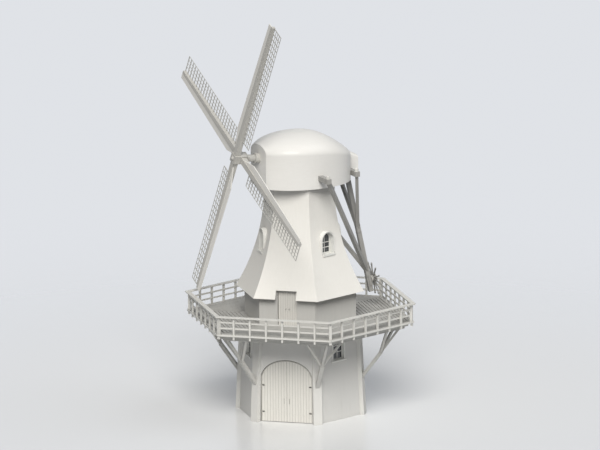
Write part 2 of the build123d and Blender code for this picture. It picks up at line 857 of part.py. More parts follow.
with BuildPart() as tail_pole:
    pole_end = pole_head + pole_run.normalized() * pole_section
    beam(pole_foot, pole_end, pole_section, pole_section, side=cap_side)
    with BuildSketch(Plane.XY.offset(pole_head.Z)):
        Circle(cap_rear * 2)
    extrude(amount=pole_section * 2, mode=Mode.SUBTRACT)
    with BuildSketch(axle_plane):
        Circle(axle_radius + axle_clearance)
    extrude(amount=pole_section, both=True, mode=Mode.SUBTRACT)
save(tail_pole, "tail_pole")

long_brace_foot = on_pole(winch_height + long_brace_above_winch)
short_brace_foot = on_pole(pole_head.Z - short_brace_drop)
long_brace_spread = long_beam_half_length - long_brace_inset
short_brace_spread = short_beam_half_length - short_brace_inset
with BuildPart() as braces:
    for hand in (-1, 1):
        long_end = cap_at(long_beam_forward, hand * long_brace_spread, long_beam_level)
        long_foot = long_brace_foot + (long_end - long_brace_foot).normalized() * long_brace_short_of_middle
        beam(long_end, long_foot, long_brace_section, long_brace_section)
        short_end = cap_at(-short_beam_back, hand * short_brace_spread, short_beam_level)
        beam(short_end, short_brace_foot, short_brace_section, short_brace_section)
    with BuildSketch(Plane(origin=(0, 0, 0), x_dir=cap_forward, z_dir=cap_side)) as parting:
        Rectangle(3 * pole_foot_back, 2 * cap_head)
    extrude(parting.sketch, amount=brace_parting / 2, both=True, mode=Mode.SUBTRACT)
    add(cross_beams.part, mode=Mode.SUBTRACT)
    add(tail_pole.part, mode=Mode.SUBTRACT)
save(braces, "tail_braces")

cheek_foot = on_pole(winch_height - cheek_below_winch)
cheek_head = on_pole(winch_height + cheek_above_winch)
with BuildPart() as cheeks:
    for hand in (-1, 1):
        shift = cap_side * (hand * (pole_section + cheek_thickness) / 2) + axle_plane.z_dir * cheek_proud
        beam(cheek_foot + shift, cheek_head + shift, cheek_thickness, cheek_depth, side=cap_side)
save(cheeks, "winch_cheeks")

winch_face = pole_section / 2 + winch_gap
with BuildPart() as winch:
    with BuildSketch(axle_plane):
        Circle(axle_radius)
    extrude(amount=winch_face, both=True)
    with BuildSketch(axle_plane.offset(winch_face)):
        Circle(winch_hub_radius)
    extrude(amount=winch_hub_length)
    with BuildSketch(axle_plane.offset(winch_face + (winch_hub_length - winch_spoke) / 2)):
        with PolarLocations(0, winch_spokes, start_angle=winch_first_spoke):
            Rectangle(winch_radius, winch_spoke, align=(Align.MIN, Align.CENTER))
    extrude(amount=winch_spoke)
save(winch, "winch_wheel")


# ---- Windshaft and sails ----
def stock_half_width(radius):
    """Half width of a stock at a distance from the hub."""
    return (stock_width + (stock_tip_width - stock_width) * radius / sail_radius) / 2


def stock_line(turn, along, mode=Mode.ADD):
    """Both arms of a stock, tapered towards their tips."""
    for end in (0, half_turn):
        centre = shaft_plane(along, turn + end)
        sections = []
        ends = ((0, stock_width, stock_depth), (sail_radius, stock_tip_width, stock_tip_depth))
        for radius, width, depth in ends:
            place = centre.from_local_coords((radius, 0, 0))
            with BuildSketch(Plane(origin=place, x_dir=centre.y_dir, z_dir=centre.x_dir)) as section:
                Rectangle(width, depth)
            sections.append(section.sketch)
        loft(sections, ruled=True, mode=mode)


stock_lines = ((sail_angle + quarter_turn, 0.0), (sail_angle, stock_spacing))
sail_arms = [(turn + end, along) for end in (0, half_turn) for turn, along in stock_lines]
with BuildPart() as stocks:
    for turn, along in stock_lines:
        stock_line(turn, along)
save(stocks, "stocks")

with BuildPart() as windshaft:
    disc(-shaft_tail, shaft_radius, shaft_tail)
    with BuildSketch(shaft_plane(-poll_tail, sail_angle)) as poll:
        Rectangle(poll_width, poll_width)
    extrude(poll.sketch, amount=poll_tail + poll_nose)
    add(stocks.part, mode=Mode.SUBTRACT)
save(windshaft, "windshaft")

board_back = stock_tip_depth / 2 - board_thickness
with BuildPart() as boards:
    for turn, along in sail_arms:
        with BuildSketch(shaft_plane(along + board_back, turn)) as board:
            Polygon(
                (board_start, stock_half_width(board_start)),
                (sail_radius, stock_half_width(sail_radius)),
                (sail_radius, stock_half_width(sail_radius) + board_tip_width),
                (board_full_width_at, stock_half_width(board_full_width_at) + board_width),
                align=None,
            )
        extrude(board.sketch, amount=board_thickness)
save(boards, "wind_boards")

bar_pitch = (sail_radius - lattice_bar - lattice_start) / (lattice_bars - 1)
lath_pitch = lattice_width / lattice_laths
lattice_back = -lattice_set_back - lattice_thickness
for number, (turn, along) in enumerate(sail_arms, start=1):
    with BuildPart() as lattice:
        with BuildSketch(shaft_plane(along + lattice_back, turn)):
            with Locations(*[(lattice_start + k * bar_pitch, 0) for k in range(lattice_bars)]):
                Rectangle(lattice_bar, stock_width / 2 + lattice_width, align=(Align.MIN, Align.MAX))
            for k in range(1, lattice_laths + 1):
                with Locations((lattice_start, -stock_width / 2 - k * lath_pitch)):
                    Rectangle(sail_radius - lattice_start, lattice_lath, align=(Align.MIN, Align.MIN))
            Polygon(
                (0, -stock_half_width(0)),
                (sail_radius, -stock_half_width(sail_radius)),
                (sail_radius, stock_width),
                (0, stock_width),
                align=None,
                mode=Mode.SUBTRACT,
            )
        extrude(amount=lattice_thickness)
    save(lattice, f"sail_lattice_{number}")
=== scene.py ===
import logging
from dataclasses import dataclass, field
from enum import Enum
from typing import Callable, Sequence

import bpy
import numpy as np
from mathutils import Matrix, Vector


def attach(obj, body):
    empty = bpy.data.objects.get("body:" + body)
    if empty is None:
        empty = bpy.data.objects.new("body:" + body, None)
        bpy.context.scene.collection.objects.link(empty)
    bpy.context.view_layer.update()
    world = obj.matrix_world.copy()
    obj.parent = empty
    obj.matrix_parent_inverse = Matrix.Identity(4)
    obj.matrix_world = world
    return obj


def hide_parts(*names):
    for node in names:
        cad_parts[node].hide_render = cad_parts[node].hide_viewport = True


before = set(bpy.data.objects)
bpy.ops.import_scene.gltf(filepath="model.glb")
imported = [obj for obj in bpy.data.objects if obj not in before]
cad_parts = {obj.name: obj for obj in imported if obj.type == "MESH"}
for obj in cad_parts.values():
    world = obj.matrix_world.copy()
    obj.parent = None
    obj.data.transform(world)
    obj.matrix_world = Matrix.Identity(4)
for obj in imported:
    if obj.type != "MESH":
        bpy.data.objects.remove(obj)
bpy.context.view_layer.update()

LOG = logging.getLogger("windmill")
UP = np.array([0.0, 0.0, 1.0])
# How far each bar of a piece reads its grain from where the bar before it does.
GRAIN_STEP = 3.7
# The upward share of a direction from which +Z is too close to it to be crossed with it.
NEARLY_UPRIGHT = 0.9

Socket = bpy.types.NodeSocket
Colour = tuple[float, float, float]
Profile = Sequence[tuple[float, float]]


# ---- Directions and places ----
def outward(azimuth: float) -> np.ndarray:
    """The level direction away from the tower's axis: the front (0) is -Y, and +X is 90 degrees."""
    turn = np.radians(azimuth)
    return np.array([np.sin(turn), -np.cos(turn), 0.0])


def along_face(azimuth: float) -> np.ndarray:
    """The level direction to the right along a face, seen from outside."""
    turn = np.radians(azimuth)
    return np.array([np.cos(turn), np.sin(turn), 0.0])


def raised(azimuth: float, elevation: float) -> np.ndarray:
    """The outward direction at an azimuth, raised by an elevation."""
    rise = np.radians(elevation)
    return outward(azimuth) * np.cos(rise) + UP * np.sin(rise)


def unit(vector: np.ndarray) -> np.ndarray:
    """A vector, or an array of them, scaled to length one."""
    return vector / np.linalg.norm(vector, axis=-1, keepdims=True)


class Face(Enum):
    """The six sides of the tower by the azimuth of their outward direction."""

    FRONT = 0
    RIGHT_FRONT = 60
    RIGHT_BACK = 120
    BACK = 180
    LEFT_BACK = 240
    LEFT_FRONT = 300


DOOR_FACES = (Face.FRONT, Face.BACK)
WINDOW_FACES = (Face.RIGHT_FRONT, Face.RIGHT_BACK, Face.LEFT_BACK, Face.LEFT_FRONT)
CORNERS = tuple(face.value + 30 for face in Face)


@dataclass(frozen=True)
class Elevation:
    """A face's own frame: x to the right along it, y up, z outwards from the tower's axis."""

    azimuth: float

    def place(self, x: np.ndarray | float, y: np.ndarray | float, z: np.ndarray | float) -> np.ndarray:
        """Points in the model's frame.

        Args:
            x: Offsets along the face.
            y: Heights.
            z: Distances from the axis.

        Returns:
            An array of points with one more axis of length three.
        """
        x, y, z = np.broadcast_arrays(x, y, z)
        return (
            x[..., None] * along_face(self.azimuth)
            + y[..., None] * UP
            + z[..., None] * outward(self.azimuth)
        )


# ---- Surfaces ----
@dataclass
class Bars:
    """Closed bars, each a loft of one outline along a row of stations.

    A bar's skin joins point (station, j) of its outline to point (station + 1, j), round the
    outline, and an end cap closes it at its first and last station. A ring has no caps: its last
    station joins its first.
    """

    points: np.ndarray
    ring: bool = False
    smooth: bool = False

    def faces(self) -> tuple[np.ndarray, np.ndarray]:
        """The faces as rows of point numbers.

        Returns:
            The quads of the skin, and the caps, one row of outline points each.
        """
        count, stations, outline = self.points.shape[:3]
        number = np.arange(count * stations * outline).reshape(count, stations, outline)
        following = np.roll(number, -1, axis=2)
        if self.ring:
            here, there = number, np.roll(number, -1, axis=1)
            here_next, there_next = following, np.roll(following, -1, axis=1)
            caps = np.empty((0, outline), int)
        else:
            here, there = number[:, :-1], number[:, 1:]
            here_next, there_next = following[:, :-1], following[:, 1:]
            caps = np.concatenate([number[:, 0, ::-1], number[:, -1]])
        quads = np.stack([here, here_next, there_next, there], axis=-1).reshape(-1, 4)
        if self._inside_out(quads, caps):
            quads, caps = quads[:, ::-1], caps[:, ::-1]
        return quads, caps

    def _inside_out(self, quads: np.ndarray, caps: np.ndarray) -> bool:
        """Whether the enclosed volume, summed over the faces' triangle fans, comes out negative.

        Args:
            quads: The skin's faces.
            caps: The end caps.

        Returns:
            True where the faces have to be turned round.
        """
        flat = self.points.reshape(-1, 3)
        volume = 0.0
        for rows in (quads, caps):
            for k in range(1, rows.shape[1] - 1 if rows.size else 0):
                a, b, c = flat[rows[:, 0]], flat[rows[:, k]], flat[rows[:, k + 1]]
                volume += float(np.einsum("ij,ij->", a, np.cross(b, c)))
        return volume < 0

    def grain(self) -> np.ndarray:
        """A coordinate that runs with each bar.

        Returns:
            The length along the bar, the way round its outline, and a number of the bar's own.
        """
        count = len(self.points)
        steps = np.linalg.norm(np.diff(self.points, axis=1), axis=-1).mean(axis=2)
        along = np.concatenate([np.zeros((count, 1)), np.cumsum(steps, axis=1)], axis=1)
        rounds = np.linalg.norm(np.diff(self.points, axis=2, append=self.points[:, :, :1]), axis=-1)
        around = np.cumsum(rounds, axis=2)
        numbers = np.arange(count)[:, None, None] * GRAIN_STEP
        return np.stack(np.broadcast_arrays(along[:, :, None], around, numbers), axis=-1)


def make_piece(name: str, parts: Sequence[Bars], body: str,
               finish: "Finish") -> bpy.types.Object:
    """Puts bars into one mesh object, with its grain coordinate, material and body.

    Args:
        name: The piece's name.
        parts: The bars that it holds.
        body: The body that it rides on.
        finish: The finish that dresses it.

    Returns:
        The new object, at the origin.
    """
    vertices, grains, face_rows, smooth = [], [], [], []
    start = 0
    for part in parts:
        quads, caps = part.faces()
        vertices.append(part.points.reshape(-1, 3))
        grains.append(part.grain().reshape(-1, 3))
        for rows in (quads, caps):
            if rows.size:
                face_rows.append(rows + start)
                smooth.append(np.full(len(rows), part.smooth and rows is quads))
        start += part.points.size // 3
    points = np.concatenate(vertices)
    loops = np.concatenate([rows.ravel() for rows in face_rows])
    totals = np.concatenate([np.full(len(rows), rows.shape[1]) for rows in face_rows])
    mesh = bpy.data.meshes.new(name)
    mesh.vertices.add(len(points))
    mesh.vertices.foreach_set("co", points.ravel().astype(np.float32))
    mesh.loops.add(len(loops))
    mesh.loops.foreach_set("vertex_index", loops.astype(np.int32))
    mesh.polygons.add(len(totals))
    mesh.polygons.foreach_set("loop_start", (np.cumsum(totals) - totals).astype(np.int32))
    mesh.polygons.foreach_set("use_smooth", np.concatenate(smooth))
    mesh.update(calc_edges=True)
    mesh.validate()
    grain = mesh.attributes.new("grain", "FLOAT_VECTOR", "POINT")
    grain.data.foreach_set("vector", np.concatenate(grains).ravel().astype(np.float32))
    mesh.materials.append(finish.material(Follow.PIECE))
    piece = bpy.data.objects.new(name, mesh)
    bpy.context.scene.collection.objects.link(piece)
    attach(piece, body)
    LOG.info("%s: %d faces on %s", name, len(totals), body)
    return piece


def rounded_outline(width: float, depth: float, corner: float) -> np.ndarray:
    """A rectangle with chamfered corners, counter-clockwise, as (8, 2) points about its middle."""
    x, y, c = width / 2, depth / 2, corner
    return np.array(
        [(x, c - y), (x, y - c), (x - c, y), (c - x, y), (-x, y - c), (-x, c - y), (c - x, -y), (x - c, -y)]
    )


def round_outline(radius: float, sides: int) -> np.ndarray:
    """A circle as (sides, 2) points: radius times the cosine and sine of equal turns."""
    turn = np.linspace(0, 2 * np.pi, sides, endpoint=False)
    return radius * np.stack([np.cos(turn), np.sin(turn)], axis=-1)


def carried(start: np.ndarray, end: np.ndarray, up: np.ndarray, outline: np.ndarray,
            scale: Sequence[float] = (1.0, 1.0)) -> np.ndarray:
    """Carries an outline along straight lines: centre + scale (x across + y up) at both ends.

    Args:
        start: The lines' first points, (m, 3).
        end: Their last points, (m, 3).
        up: The direction of the outline's y, (3,) or (m, 3), made square to each line.
        outline: The outline, (k, 2).
        scale: The outline's size at the first point and at the last.

    Returns:
        Points as (m, 2, k, 3).
    """
    start, end = np.atleast_2d(start), np.atleast_2d(end)
    run = unit(end - start)
    up = np.broadcast_to(up, run.shape)
    up = unit(up - np.sum(up * run, axis=-1, keepdims=True) * run)
    across = np.cross(up, run)
    centre = np.stack([start, end], axis=1)
    section = outline[None, :, :1] * across[:, None] + outline[None, :, 1:] * up[:, None]
    return centre[:, :, None] + np.array(scale)[None, :, None, None] * section[:, None]


def turned(start: np.ndarray, run: np.ndarray, profile: Profile, sides: int = 20) -> np.ndarray:
    """Turned work: a circle whose radius follows a profile of (distance along, radius) pairs.

    Args:
        start: Where each piece begins, (m, 3).
        run: The direction that each is turned about, (m, 3), or one for all.
        profile: The pairs of distance and radius.
        sides: How many points go round.

    Returns:
        Points as (m, stations, sides, 3).
    """
    distance, radius = np.array(profile).T
    start = np.atleast_2d(start)
    run = unit(np.broadcast_to(run, start.shape))
    upright = np.abs(run[:, 2:]) >= NEARLY_UPRIGHT
    helper = np.where(upright, np.array([1.0, 0.0, 0.0]), UP)
    across = unit(np.cross(helper, run))
    up = np.cross(run, across)
    circle = round_outline(1.0, sides)
    ring = circle[None, :, :1] * across[:, None] + circle[None, :, 1:] * up[:, None]
    centre = start[:, None] + run[:, None] * distance[None, :, None]
    return centre[:, :, None] + radius[None, :, None, None] * ring[:, None]


def dome(radius: float, height: float, foot: float, crown: float, steps: int) -> list[tuple[float, float]]:
    """A quarter round as a profile, up to a small flat.

    Args:
        radius: The radius at its foot.
        height: The height of its top.
        foot: Where it starts, as a share of the height.
        crown: The flat's radius, as a share of the radius.
        steps: How many points it has.

    Returns:
        Pairs of distance and radius.
    """
    turns = np.linspace(0, np.pi / 2, steps)
    return [(height * (foot + (1 - foot) * np.sin(a)), radius * max(np.cos(a), crown)) for a in turns]


def bolt_heads(places: np.ndarray, run: np.ndarray, radius: float, height: float) -> Bars:
    """Domed heads, each a short cheek sunk in the timber and a dome over it.

    Args:
        places: The middles of their seats, (m, 3).
        run: The direction out of the timber.
        radius: The heads' radius.
        height: How far they stand out.

    Returns:
        The heads.
    """
    cheek = 0.3
    profile = [(-height * cheek, radius), *dome(radius, height, foot=cheek, crown=0.12, steps=5)]
    return Bars(turned(places, run, profile, sides=10), smooth=True)


# ---- Finishes ----
class Follow(Enum):
    """What a pattern follows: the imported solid's own place, or a new piece's length."""

    SOLID = "solid"
    PIECE = "piece"


class Carries(Enum):
    """What a socket of a shader group carries."""

    VECTOR = "NodeSocketVector"
    COLOUR = "NodeSocketColor"
    VALUE = "NodeSocketFloat"


class Wiring:
    """A node tree with short ways of adding and joining nodes."""

    def __init__(self, tree: bpy.types.NodeTree) -> None:
        """Keeps the tree."""
        self.tree = tree

    def add(self, kind: str, **settings: object) -> bpy.types.Node:
        """Adds a node and sets its properties.

        Args:
            kind: The node's type name.
            settings: Its properties by name.

        Returns:
            The node.
        """
        node = self.tree.nodes.new(kind)
        for name, value in settings.items():
            setattr(node, name, value)
        return node

    def join(self, source: Socket, target: Socket) -> None:
        """Links one socket to another."""
        self.tree.links.new(source, target)

    def feed(self, source: Socket | Colour | float, target: Socket) -> None:
        """Gives a socket its value.

        Args:
            source: Another socket, a colour as three numbers, or one number.
            target: The socket.
        """
        if isinstance(source, Socket):
            self.join(source, target)
        elif isinstance(source, tuple):
            target.default_value = (*source, 1.0)
        else:
            target.default_value = source

    def noise(self, vector: Socket, scale: float, detail: float) -> Socket:
        """A noise value on a coordinate.

        Args:
            vector: The coordinate's socket.
            scale: Repeats a metre.
            detail: Octaves.

        Returns:
            The value's socket.
        """
        node = self.add("ShaderNodeTexNoise")
        self.join(vector, node.inputs["Vector"])
        self.feed(scale, node.inputs["Scale"])
        self.feed(detail, node.inputs["Detail"])
        return node.outputs["Fac"]

    def stretch(self, vector: Socket, scale: Sequence[float]) -> Socket:
        """A coordinate stretched by a scale on each axis.

        Args:
            vector: The coordinate's socket.
            scale: Three factors.

        Returns:
            The new coordinate's socket.
        """
        node = self.add("ShaderNodeMapping")
        node.inputs["Scale"].default_value = scale
        self.join(vector, node.inputs["Vector"])
        return node.outputs["Vector"]

    def range(self, value: Socket, low: float, high: float, to_low: float = 0.0, to_high: float = 1.0,
              kind: str = "LINEAR") -> Socket:
        """A value mapped from one range onto another and held inside it.

        Args:
            value: The value's socket.
            low: Where the first range starts.
            high: Where it ends.
            to_low: Where the second range starts.
            to_high: Where it ends.
            kind: How the value runs between its ends.

        Returns:
            The new value's socket.
        """
        node = self.add("ShaderNodeMapRange", interpolation_type=kind)
        self.join(value, node.inputs["Value"])
        ends = {"From Min": low, "From Max": high, "To Min": to_low, "To Max": to_high}
        for name, number in ends.items():
            self.feed(number, node.inputs[name])
        return node.outputs["Result"]

    def blend(self, share: Socket, first: Socket | Colour, second: Socket | Colour) -> Socket:
        """Two colours mixed by a share.

        Args:
            share: How much of the second colour there is.
            first: A socket or a colour.
            second: A socket or a colour.

        Returns:
            The mixed colour's socket.
        """
        node = self.add("ShaderNodeMix", data_type="RGBA")
        for source, socket in ((share, node.inputs[0]), (first, node.inputs[6]), (second, node.inputs[7])):
            self.feed(source, socket)
        return node.outputs[2]

    def maths(self, kind: str, first: Socket | float, second: Socket | float) -> Socket:
        """Arithmetic on two values.

        Args:
            kind: The operation's name.
            first: A socket or a number.
            second: A socket or a number.

        Returns:
            The result's socket.
        """
        node = self.add("ShaderNodeMath", operation=kind)
        self.feed(first, node.inputs[0])
        self.feed(second, node.inputs[1])
        return node.outputs[0]

    def bump(self, height: Socket, depth: float, strength: float = 1.0) -> Socket:
        """A normal that follows a relief.

        Args:
            height: The relief's socket.
            depth: How deep it is, in metres.
            strength: How much of it shows.

        Returns:
            The normal's socket.
        """
        node = self.add("ShaderNodeBump")
        self.feed(depth, node.inputs["Distance"])
        self.feed(strength, node.inputs["Strength"])
        self.join(height, node.inputs["Height"])
        return node.outputs["Normal"]


def new_group(name: str, inputs: dict[str, Carries],
              outputs: dict[str, Carries]) -> tuple[Wiring, bpy.types.Node, bpy.types.Node]:
    """An empty shader group with named sockets.

    Args:
        name: The group's name.
        inputs: What each input carries, by name.
        outputs: What each output carries, by name.

    Returns:
        The group's wiring, and its input and output nodes.
    """
    tree = bpy.data.node_groups.new(name, "ShaderNodeTree")
    for way, sockets in (("INPUT", inputs), ("OUTPUT", outputs)):
        for label, carries in sockets.items():
            tree.interface.new_socket(label, in_out=way, socket_type=carries.value)
    wiring = Wiring(tree)
    return wiring, wiring.add("NodeGroupInput"), wiring.add("NodeGroupOutput")


def new_material(title: str) -> tuple[bpy.types.Material, Wiring, bpy.types.Node]:
    """A material with nodes.

    Args:
        title: Its name.

    Returns:
        The material, its wiring and its surface shader.
    """
    material = bpy.data.materials.new(title)
    material.use_nodes = True
    return material, Wiring(material.node_tree), material.node_tree.nodes["Principled BSDF"]


COAT = {"Colour": Carries.COLOUR, "Height": Carries.VALUE, "Roughness": Carries.VALUE}


def build_lime_coat() -> bpy.types.NodeTree:
    """Brushed lime over masonry: broad cloudy tone, a fine sandy tooth, and streaks down the wall.

    Returns:
        The group.
    """
    takes = {"Vector": Carries.VECTOR, "Colour": Carries.COLOUR, "Stain": Carries.COLOUR}
    wiring, given, result = new_group("lime coat", takes, COAT)
    vector, stain = given.outputs["Vector"], given.outputs["Stain"]
    clouds = wiring.noise(vector, scale=0.55, detail=4.0)
    tooth = wiring.noise(vector, scale=42.0, detail=4.0)
    trowel = wiring.noise(vector, scale=4.0, detail=3.0)
    streaks = wiring.noise(wiring.stretch(vector, (5.0, 5.0, 0.35)), scale=1.0, detail=5.0)
    dirty = wiring.maths("MULTIPLY", wiring.range(clouds, 0.45, 0.75), wiring.range(streaks, 0.5, 0.8))
    colour = wiring.blend(wiring.range(dirty, 0.0, 1.0, to_high=0.55), given.outputs["Colour"], stain)
    speckled = wiring.blend(wiring.range(tooth, 0.3, 0.7, to_high=0.10), colour, stain)
    wiring.join(speckled, result.inputs["Colour"])
    sand = wiring.maths("MULTIPLY", tooth, 0.35)
    wiring.join(wiring.maths("ADD", sand, trowel), result.inputs["Height"])
    wiring.join(wiring.range(clouds, 0.3, 0.7, to_low=0.62, to_high=0.78), result.inputs["Roughness"])
    return wiring.tree


def build_timber_grain() -> bpy.types.NodeTree:
    """Painted timber: long fibres along the coordinate's first axis, broad bands, and worn patches.

    Returns:
        The group.
    """
    takes = {
        "Vector": Carries.VECTOR,
        "Colour": Carries.COLOUR,
        "Worn": Carries.COLOUR,
        "Wear": Carries.VALUE,
    }
    wiring, given, result = new_group("timber grain", takes, COAT)
    vector, worn = given.outputs["Vector"], given.outputs["Worn"]
    fibres = wiring.noise(wiring.stretch(vector, (2.2, 46.0, 46.0)), scale=1.0, detail=4.0)
    bands = wiring.noise(wiring.stretch(vector, (0.8, 9.0, 9.0)), scale=1.0, detail=3.0)
    patches = wiring.noise(vector, scale=1.3, detail=4.0)
    rubbed = wiring.maths("MULTIPLY", wiring.range(patches, 0.45, 0.72), wiring.range(fibres, 0.38, 0.62))
    share = wiring.maths("MULTIPLY", rubbed, given.outputs["Wear"])
    toned = wiring.blend(wiring.range(bands, 0.35, 0.65, to_high=0.16), given.outputs["Colour"], worn)
    wiring.join(wiring.blend(share, toned, worn), result.inputs["Colour"])
    ridges = wiring.maths("MULTIPLY", fibres, 0.6)
    wiring.join(wiring.maths("ADD", ridges, bands), result.inputs["Height"])
    wiring.join(wiring.range(fibres, 0.3, 0.7, to_low=0.50, to_high=0.66), result.inputs["Roughness"])
    return wiring.tree


def build_corner_shade() -> bpy.types.NodeTree:
    """Painted shade where surfaces meet: a mask from how shut in a point is within a distance darkens the
    colour there.

    Returns:
        The group.
    """
    takes = {
        "Colour": Carries.COLOUR,
        "Dust": Carries.COLOUR,
        "Distance": Carries.VALUE,
        "Amount": Carries.VALUE,
    }
    wiring, given, result = new_group("painted corner shade", takes, {"Colour": Carries.COLOUR})
    # Ambient occlusion drives painted shade: the colour darkens where surfaces shut a point in.
    shut_in = wiring.add("ShaderNodeAmbientOcclusion", samples=4)
    wiring.join(given.outputs["Distance"], shut_in.inputs["Distance"])
    shaded = wiring.range(shut_in.outputs["AO"], 0.85, 0.25)
    mask = wiring.maths("MULTIPLY", shaded, given.outputs["Amount"])
    with_painted_shade = wiring.blend(mask, given.outputs["Colour"], given.outputs["Dust"])
    wiring.join(with_painted_shade, result.inputs["Colour"])
    return wiring.tree


class Coating(Enum):
    """Which pattern a finish wears."""

    LIME = "lime coat"
    TIMBER = "timber grain"


GROUP_BUILDERS: dict[str, Callable[[], bpy.types.NodeTree]] = {
    "lime coat": build_lime_coat,
    "timber grain": build_timber_grain,
    "painted corner shade": build_corner_shade,
}


def group(name: str) -> bpy.types.NodeTree:
    """A shader group by name, built the first time that it is wanted."""
    return bpy.data.node_groups.get(name) or GROUP_BUILDERS[name]()


@dataclass(frozen=True)
class Finish:
    """A coated surface: its colours, its pattern, how worn it is, how much painted shade darkens its
    corners, and how deep its relief.
    """

    name: str
    colour: Colour
    worn: Colour
    coating: Coating = Coating.TIMBER
    grain_axis: tuple[float, float, float] = (0.0, 90.0, 0.0)
    wear: float = 0.5
    # The next three fields set painted shade: how strongly corners and overhung parts darken, how far the
    # darkening reaches, and how dark it gets.
    dust: float = 0.35
    painted_shade_reach: float = 0.25
    painted_shade_tone: float = 0.62
    relief: float = 0.006
    relief_share: float = 0.6
    specular: float = 0.35
    coat: float = 0.0

    def material(self, follow: Follow) -> bpy.types.Material:
        """The finish as a material.

        Args:
            follow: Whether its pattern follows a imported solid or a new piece's own length.

        Returns:
            The material, made once for each finish and way of following.
        """
        title = f"{self.name} {follow.value}"
        if title in bpy.data.materials:
            return bpy.data.materials[title]
        material, wiring, shader = new_material(title)
        material.diffuse_color = (*self.colour, 1.0)
        pattern = wiring.add("ShaderNodeGroup", node_tree=group(self.coating.value))
        wiring.join(self._coordinate(wiring, follow), pattern.inputs["Vector"])
        wiring.feed(self.colour, pattern.inputs["Colour"])
        if self.coating is Coating.TIMBER:
            wiring.feed(self.worn, pattern.inputs["Worn"])
            wiring.feed(self.wear, pattern.inputs["Wear"])
        else:
            wiring.feed(self.worn, pattern.inputs["Stain"])
        # Painted shade: the colour darkens towards a darker copy of the worn colour where the surface is
        # shut in.
        with_painted_shade = wiring.add("ShaderNodeGroup", node_tree=group("painted corner shade"))
        wiring.join(pattern.outputs["Colour"], with_painted_shade.inputs["Colour"])
        wiring.feed(tuple(self.painted_shade_tone * part for part in self.worn), with_painted_shade.inputs["Dust"])
        wiring.feed(self.painted_shade_reach, with_painted_shade.inputs["Distance"])
        wiring.feed(self.dust, with_painted_shade.inputs["Amount"])
        wiring.join(with_painted_shade.outputs["Colour"], shader.inputs["Base Color"])
        wiring.join(pattern.outputs["Roughness"], shader.inputs["Roughness"])
        normal = wiring.bump(pattern.outputs["Height"], self.relief, self.relief_share)
        wiring.join(normal, shader.inputs["Normal"])
        wiring.feed(self.specular, shader.inputs["Specular IOR Level"])
        wiring.feed(self.coat, shader.inputs["Coat Weight"])
        return material

    def _coordinate(self, wiring: Wiring, follow: Follow) -> Socket:
        """The coordinate that the pattern reads, its first axis along the grain.

        Args:
            wiring: The material's wiring.
            follow: What the pattern follows.

        Returns:
            The coordinate's socket.
        """
        if follow is Follow.PIECE:
            return wiring.add("ShaderNodeAttribute", attribute_name="grain").outputs["Vector"]
        place = wiring.add("ShaderNodeTexCoord").outputs["Object"]
        if self.coating is Coating.LIME:
            return place
        turn = wiring.add("ShaderNodeMapping")
        turn.inputs["Rotation"].default_value = [np.radians(a) for a in self.grain_axis]
        wiring.join(place, turn.inputs["Vector"])
        return turn.outputs["Vector"]


@dataclass(frozen=True)
class Glass:
    """Old window glass, smooth and faintly wavy: its nearly black colour is painted shade for the unlit
    room behind it, and its lighter wave crests are a painted sheen.
    """

    name: str = "old glass"
    colour: Colour = (0.035, 0.04, 0.045)
    crest_sheen_colour: Colour = (0.06, 0.068, 0.075)
    ripple_scale: float = 3.0
    ripple_depth: float = 0.004
    roughness: float = 0.08
    coat: float = 0.4

    def material(self, follow: Follow) -> bpy.types.Material:
        """The glass as a material.

        Args:
            follow: Not used; taken for the same call as the other finishes, since the wave follows the
                solid.

        Returns:
            The material.
        """
        if self.name in bpy.data.materials:
            return bpy.data.materials[self.name]
        material, wiring, shader = new_material(self.name)
        place = wiring.add("ShaderNodeTexCoord").outputs["Object"]
        ripple = wiring.noise(place, self.ripple_scale, detail=2.0)
        # Painted sheen: the crests of the wave are coloured lighter.
        tint = wiring.blend(wiring.range(ripple, 0.35, 0.65), self.colour, self.crest_sheen_colour)
        wiring.join(tint, shader.inputs["Base Color"])
        wiring.join(wiring.bump(ripple, self.ripple_depth), shader.inputs["Normal"])
        wiring.feed(self.roughness, shader.inputs["Roughness"])
        wiring.feed(self.coat, shader.inputs["Coat Weight"])
        return material


LIME_WALL = Finish("lime wall", (0.68, 0.675, 0.655), (0.55, 0.54, 0.51), Coating.LIME, relief=0.005)
LIME_POST = Finish("lime post", (0.69, 0.685, 0.66), (0.57, 0.56, 0.53), Coating.LIME, relief=0.004)
WORN_STONE = Finish("worn stone", (0.60, 0.59, 0.56), (0.42, 0.41, 0.385), Coating.LIME, relief=0.012)
# The smock's 1.7 m reach of corner darkening is a painted shadow of the cap's overhang on the upper smock.
SMOCK_PAINT = Finish("smock paint", (0.89, 0.875, 0.835), (0.80, 0.785, 0.74), wear=0.2, dust=0.75,
                     painted_shade_reach=1.7, relief=0.002)
CAP_PAINT = Finish("cap paint", (0.86, 0.85, 0.825), (0.79, 0.775, 0.74), grain_axis=(0.0, 0.0, 0.0),
                   wear=0.15, relief=0.002, coat=0.25)
WALL_BOARDS = Finish("wall boards", (0.60, 0.595, 0.575), (0.52, 0.515, 0.49), wear=0.3, relief=0.002)
CASING_PAINT = Finish("casing paint", (0.86, 0.86, 0.83), (0.72, 0.71, 0.67), wear=0.3, relief=0.002)
DOOR_PAINT = Finish("door paint", (0.72, 0.705, 0.665), (0.58, 0.565, 0.515), wear=0.4, painted_shade_reach=0.06,
                    relief=0.003)
UPPER_DOOR_PAINT = Finish("upper door paint", (0.72, 0.705, 0.67), (0.60, 0.59, 0.55), wear=0.4,
                          painted_shade_reach=0.06, relief=0.003)
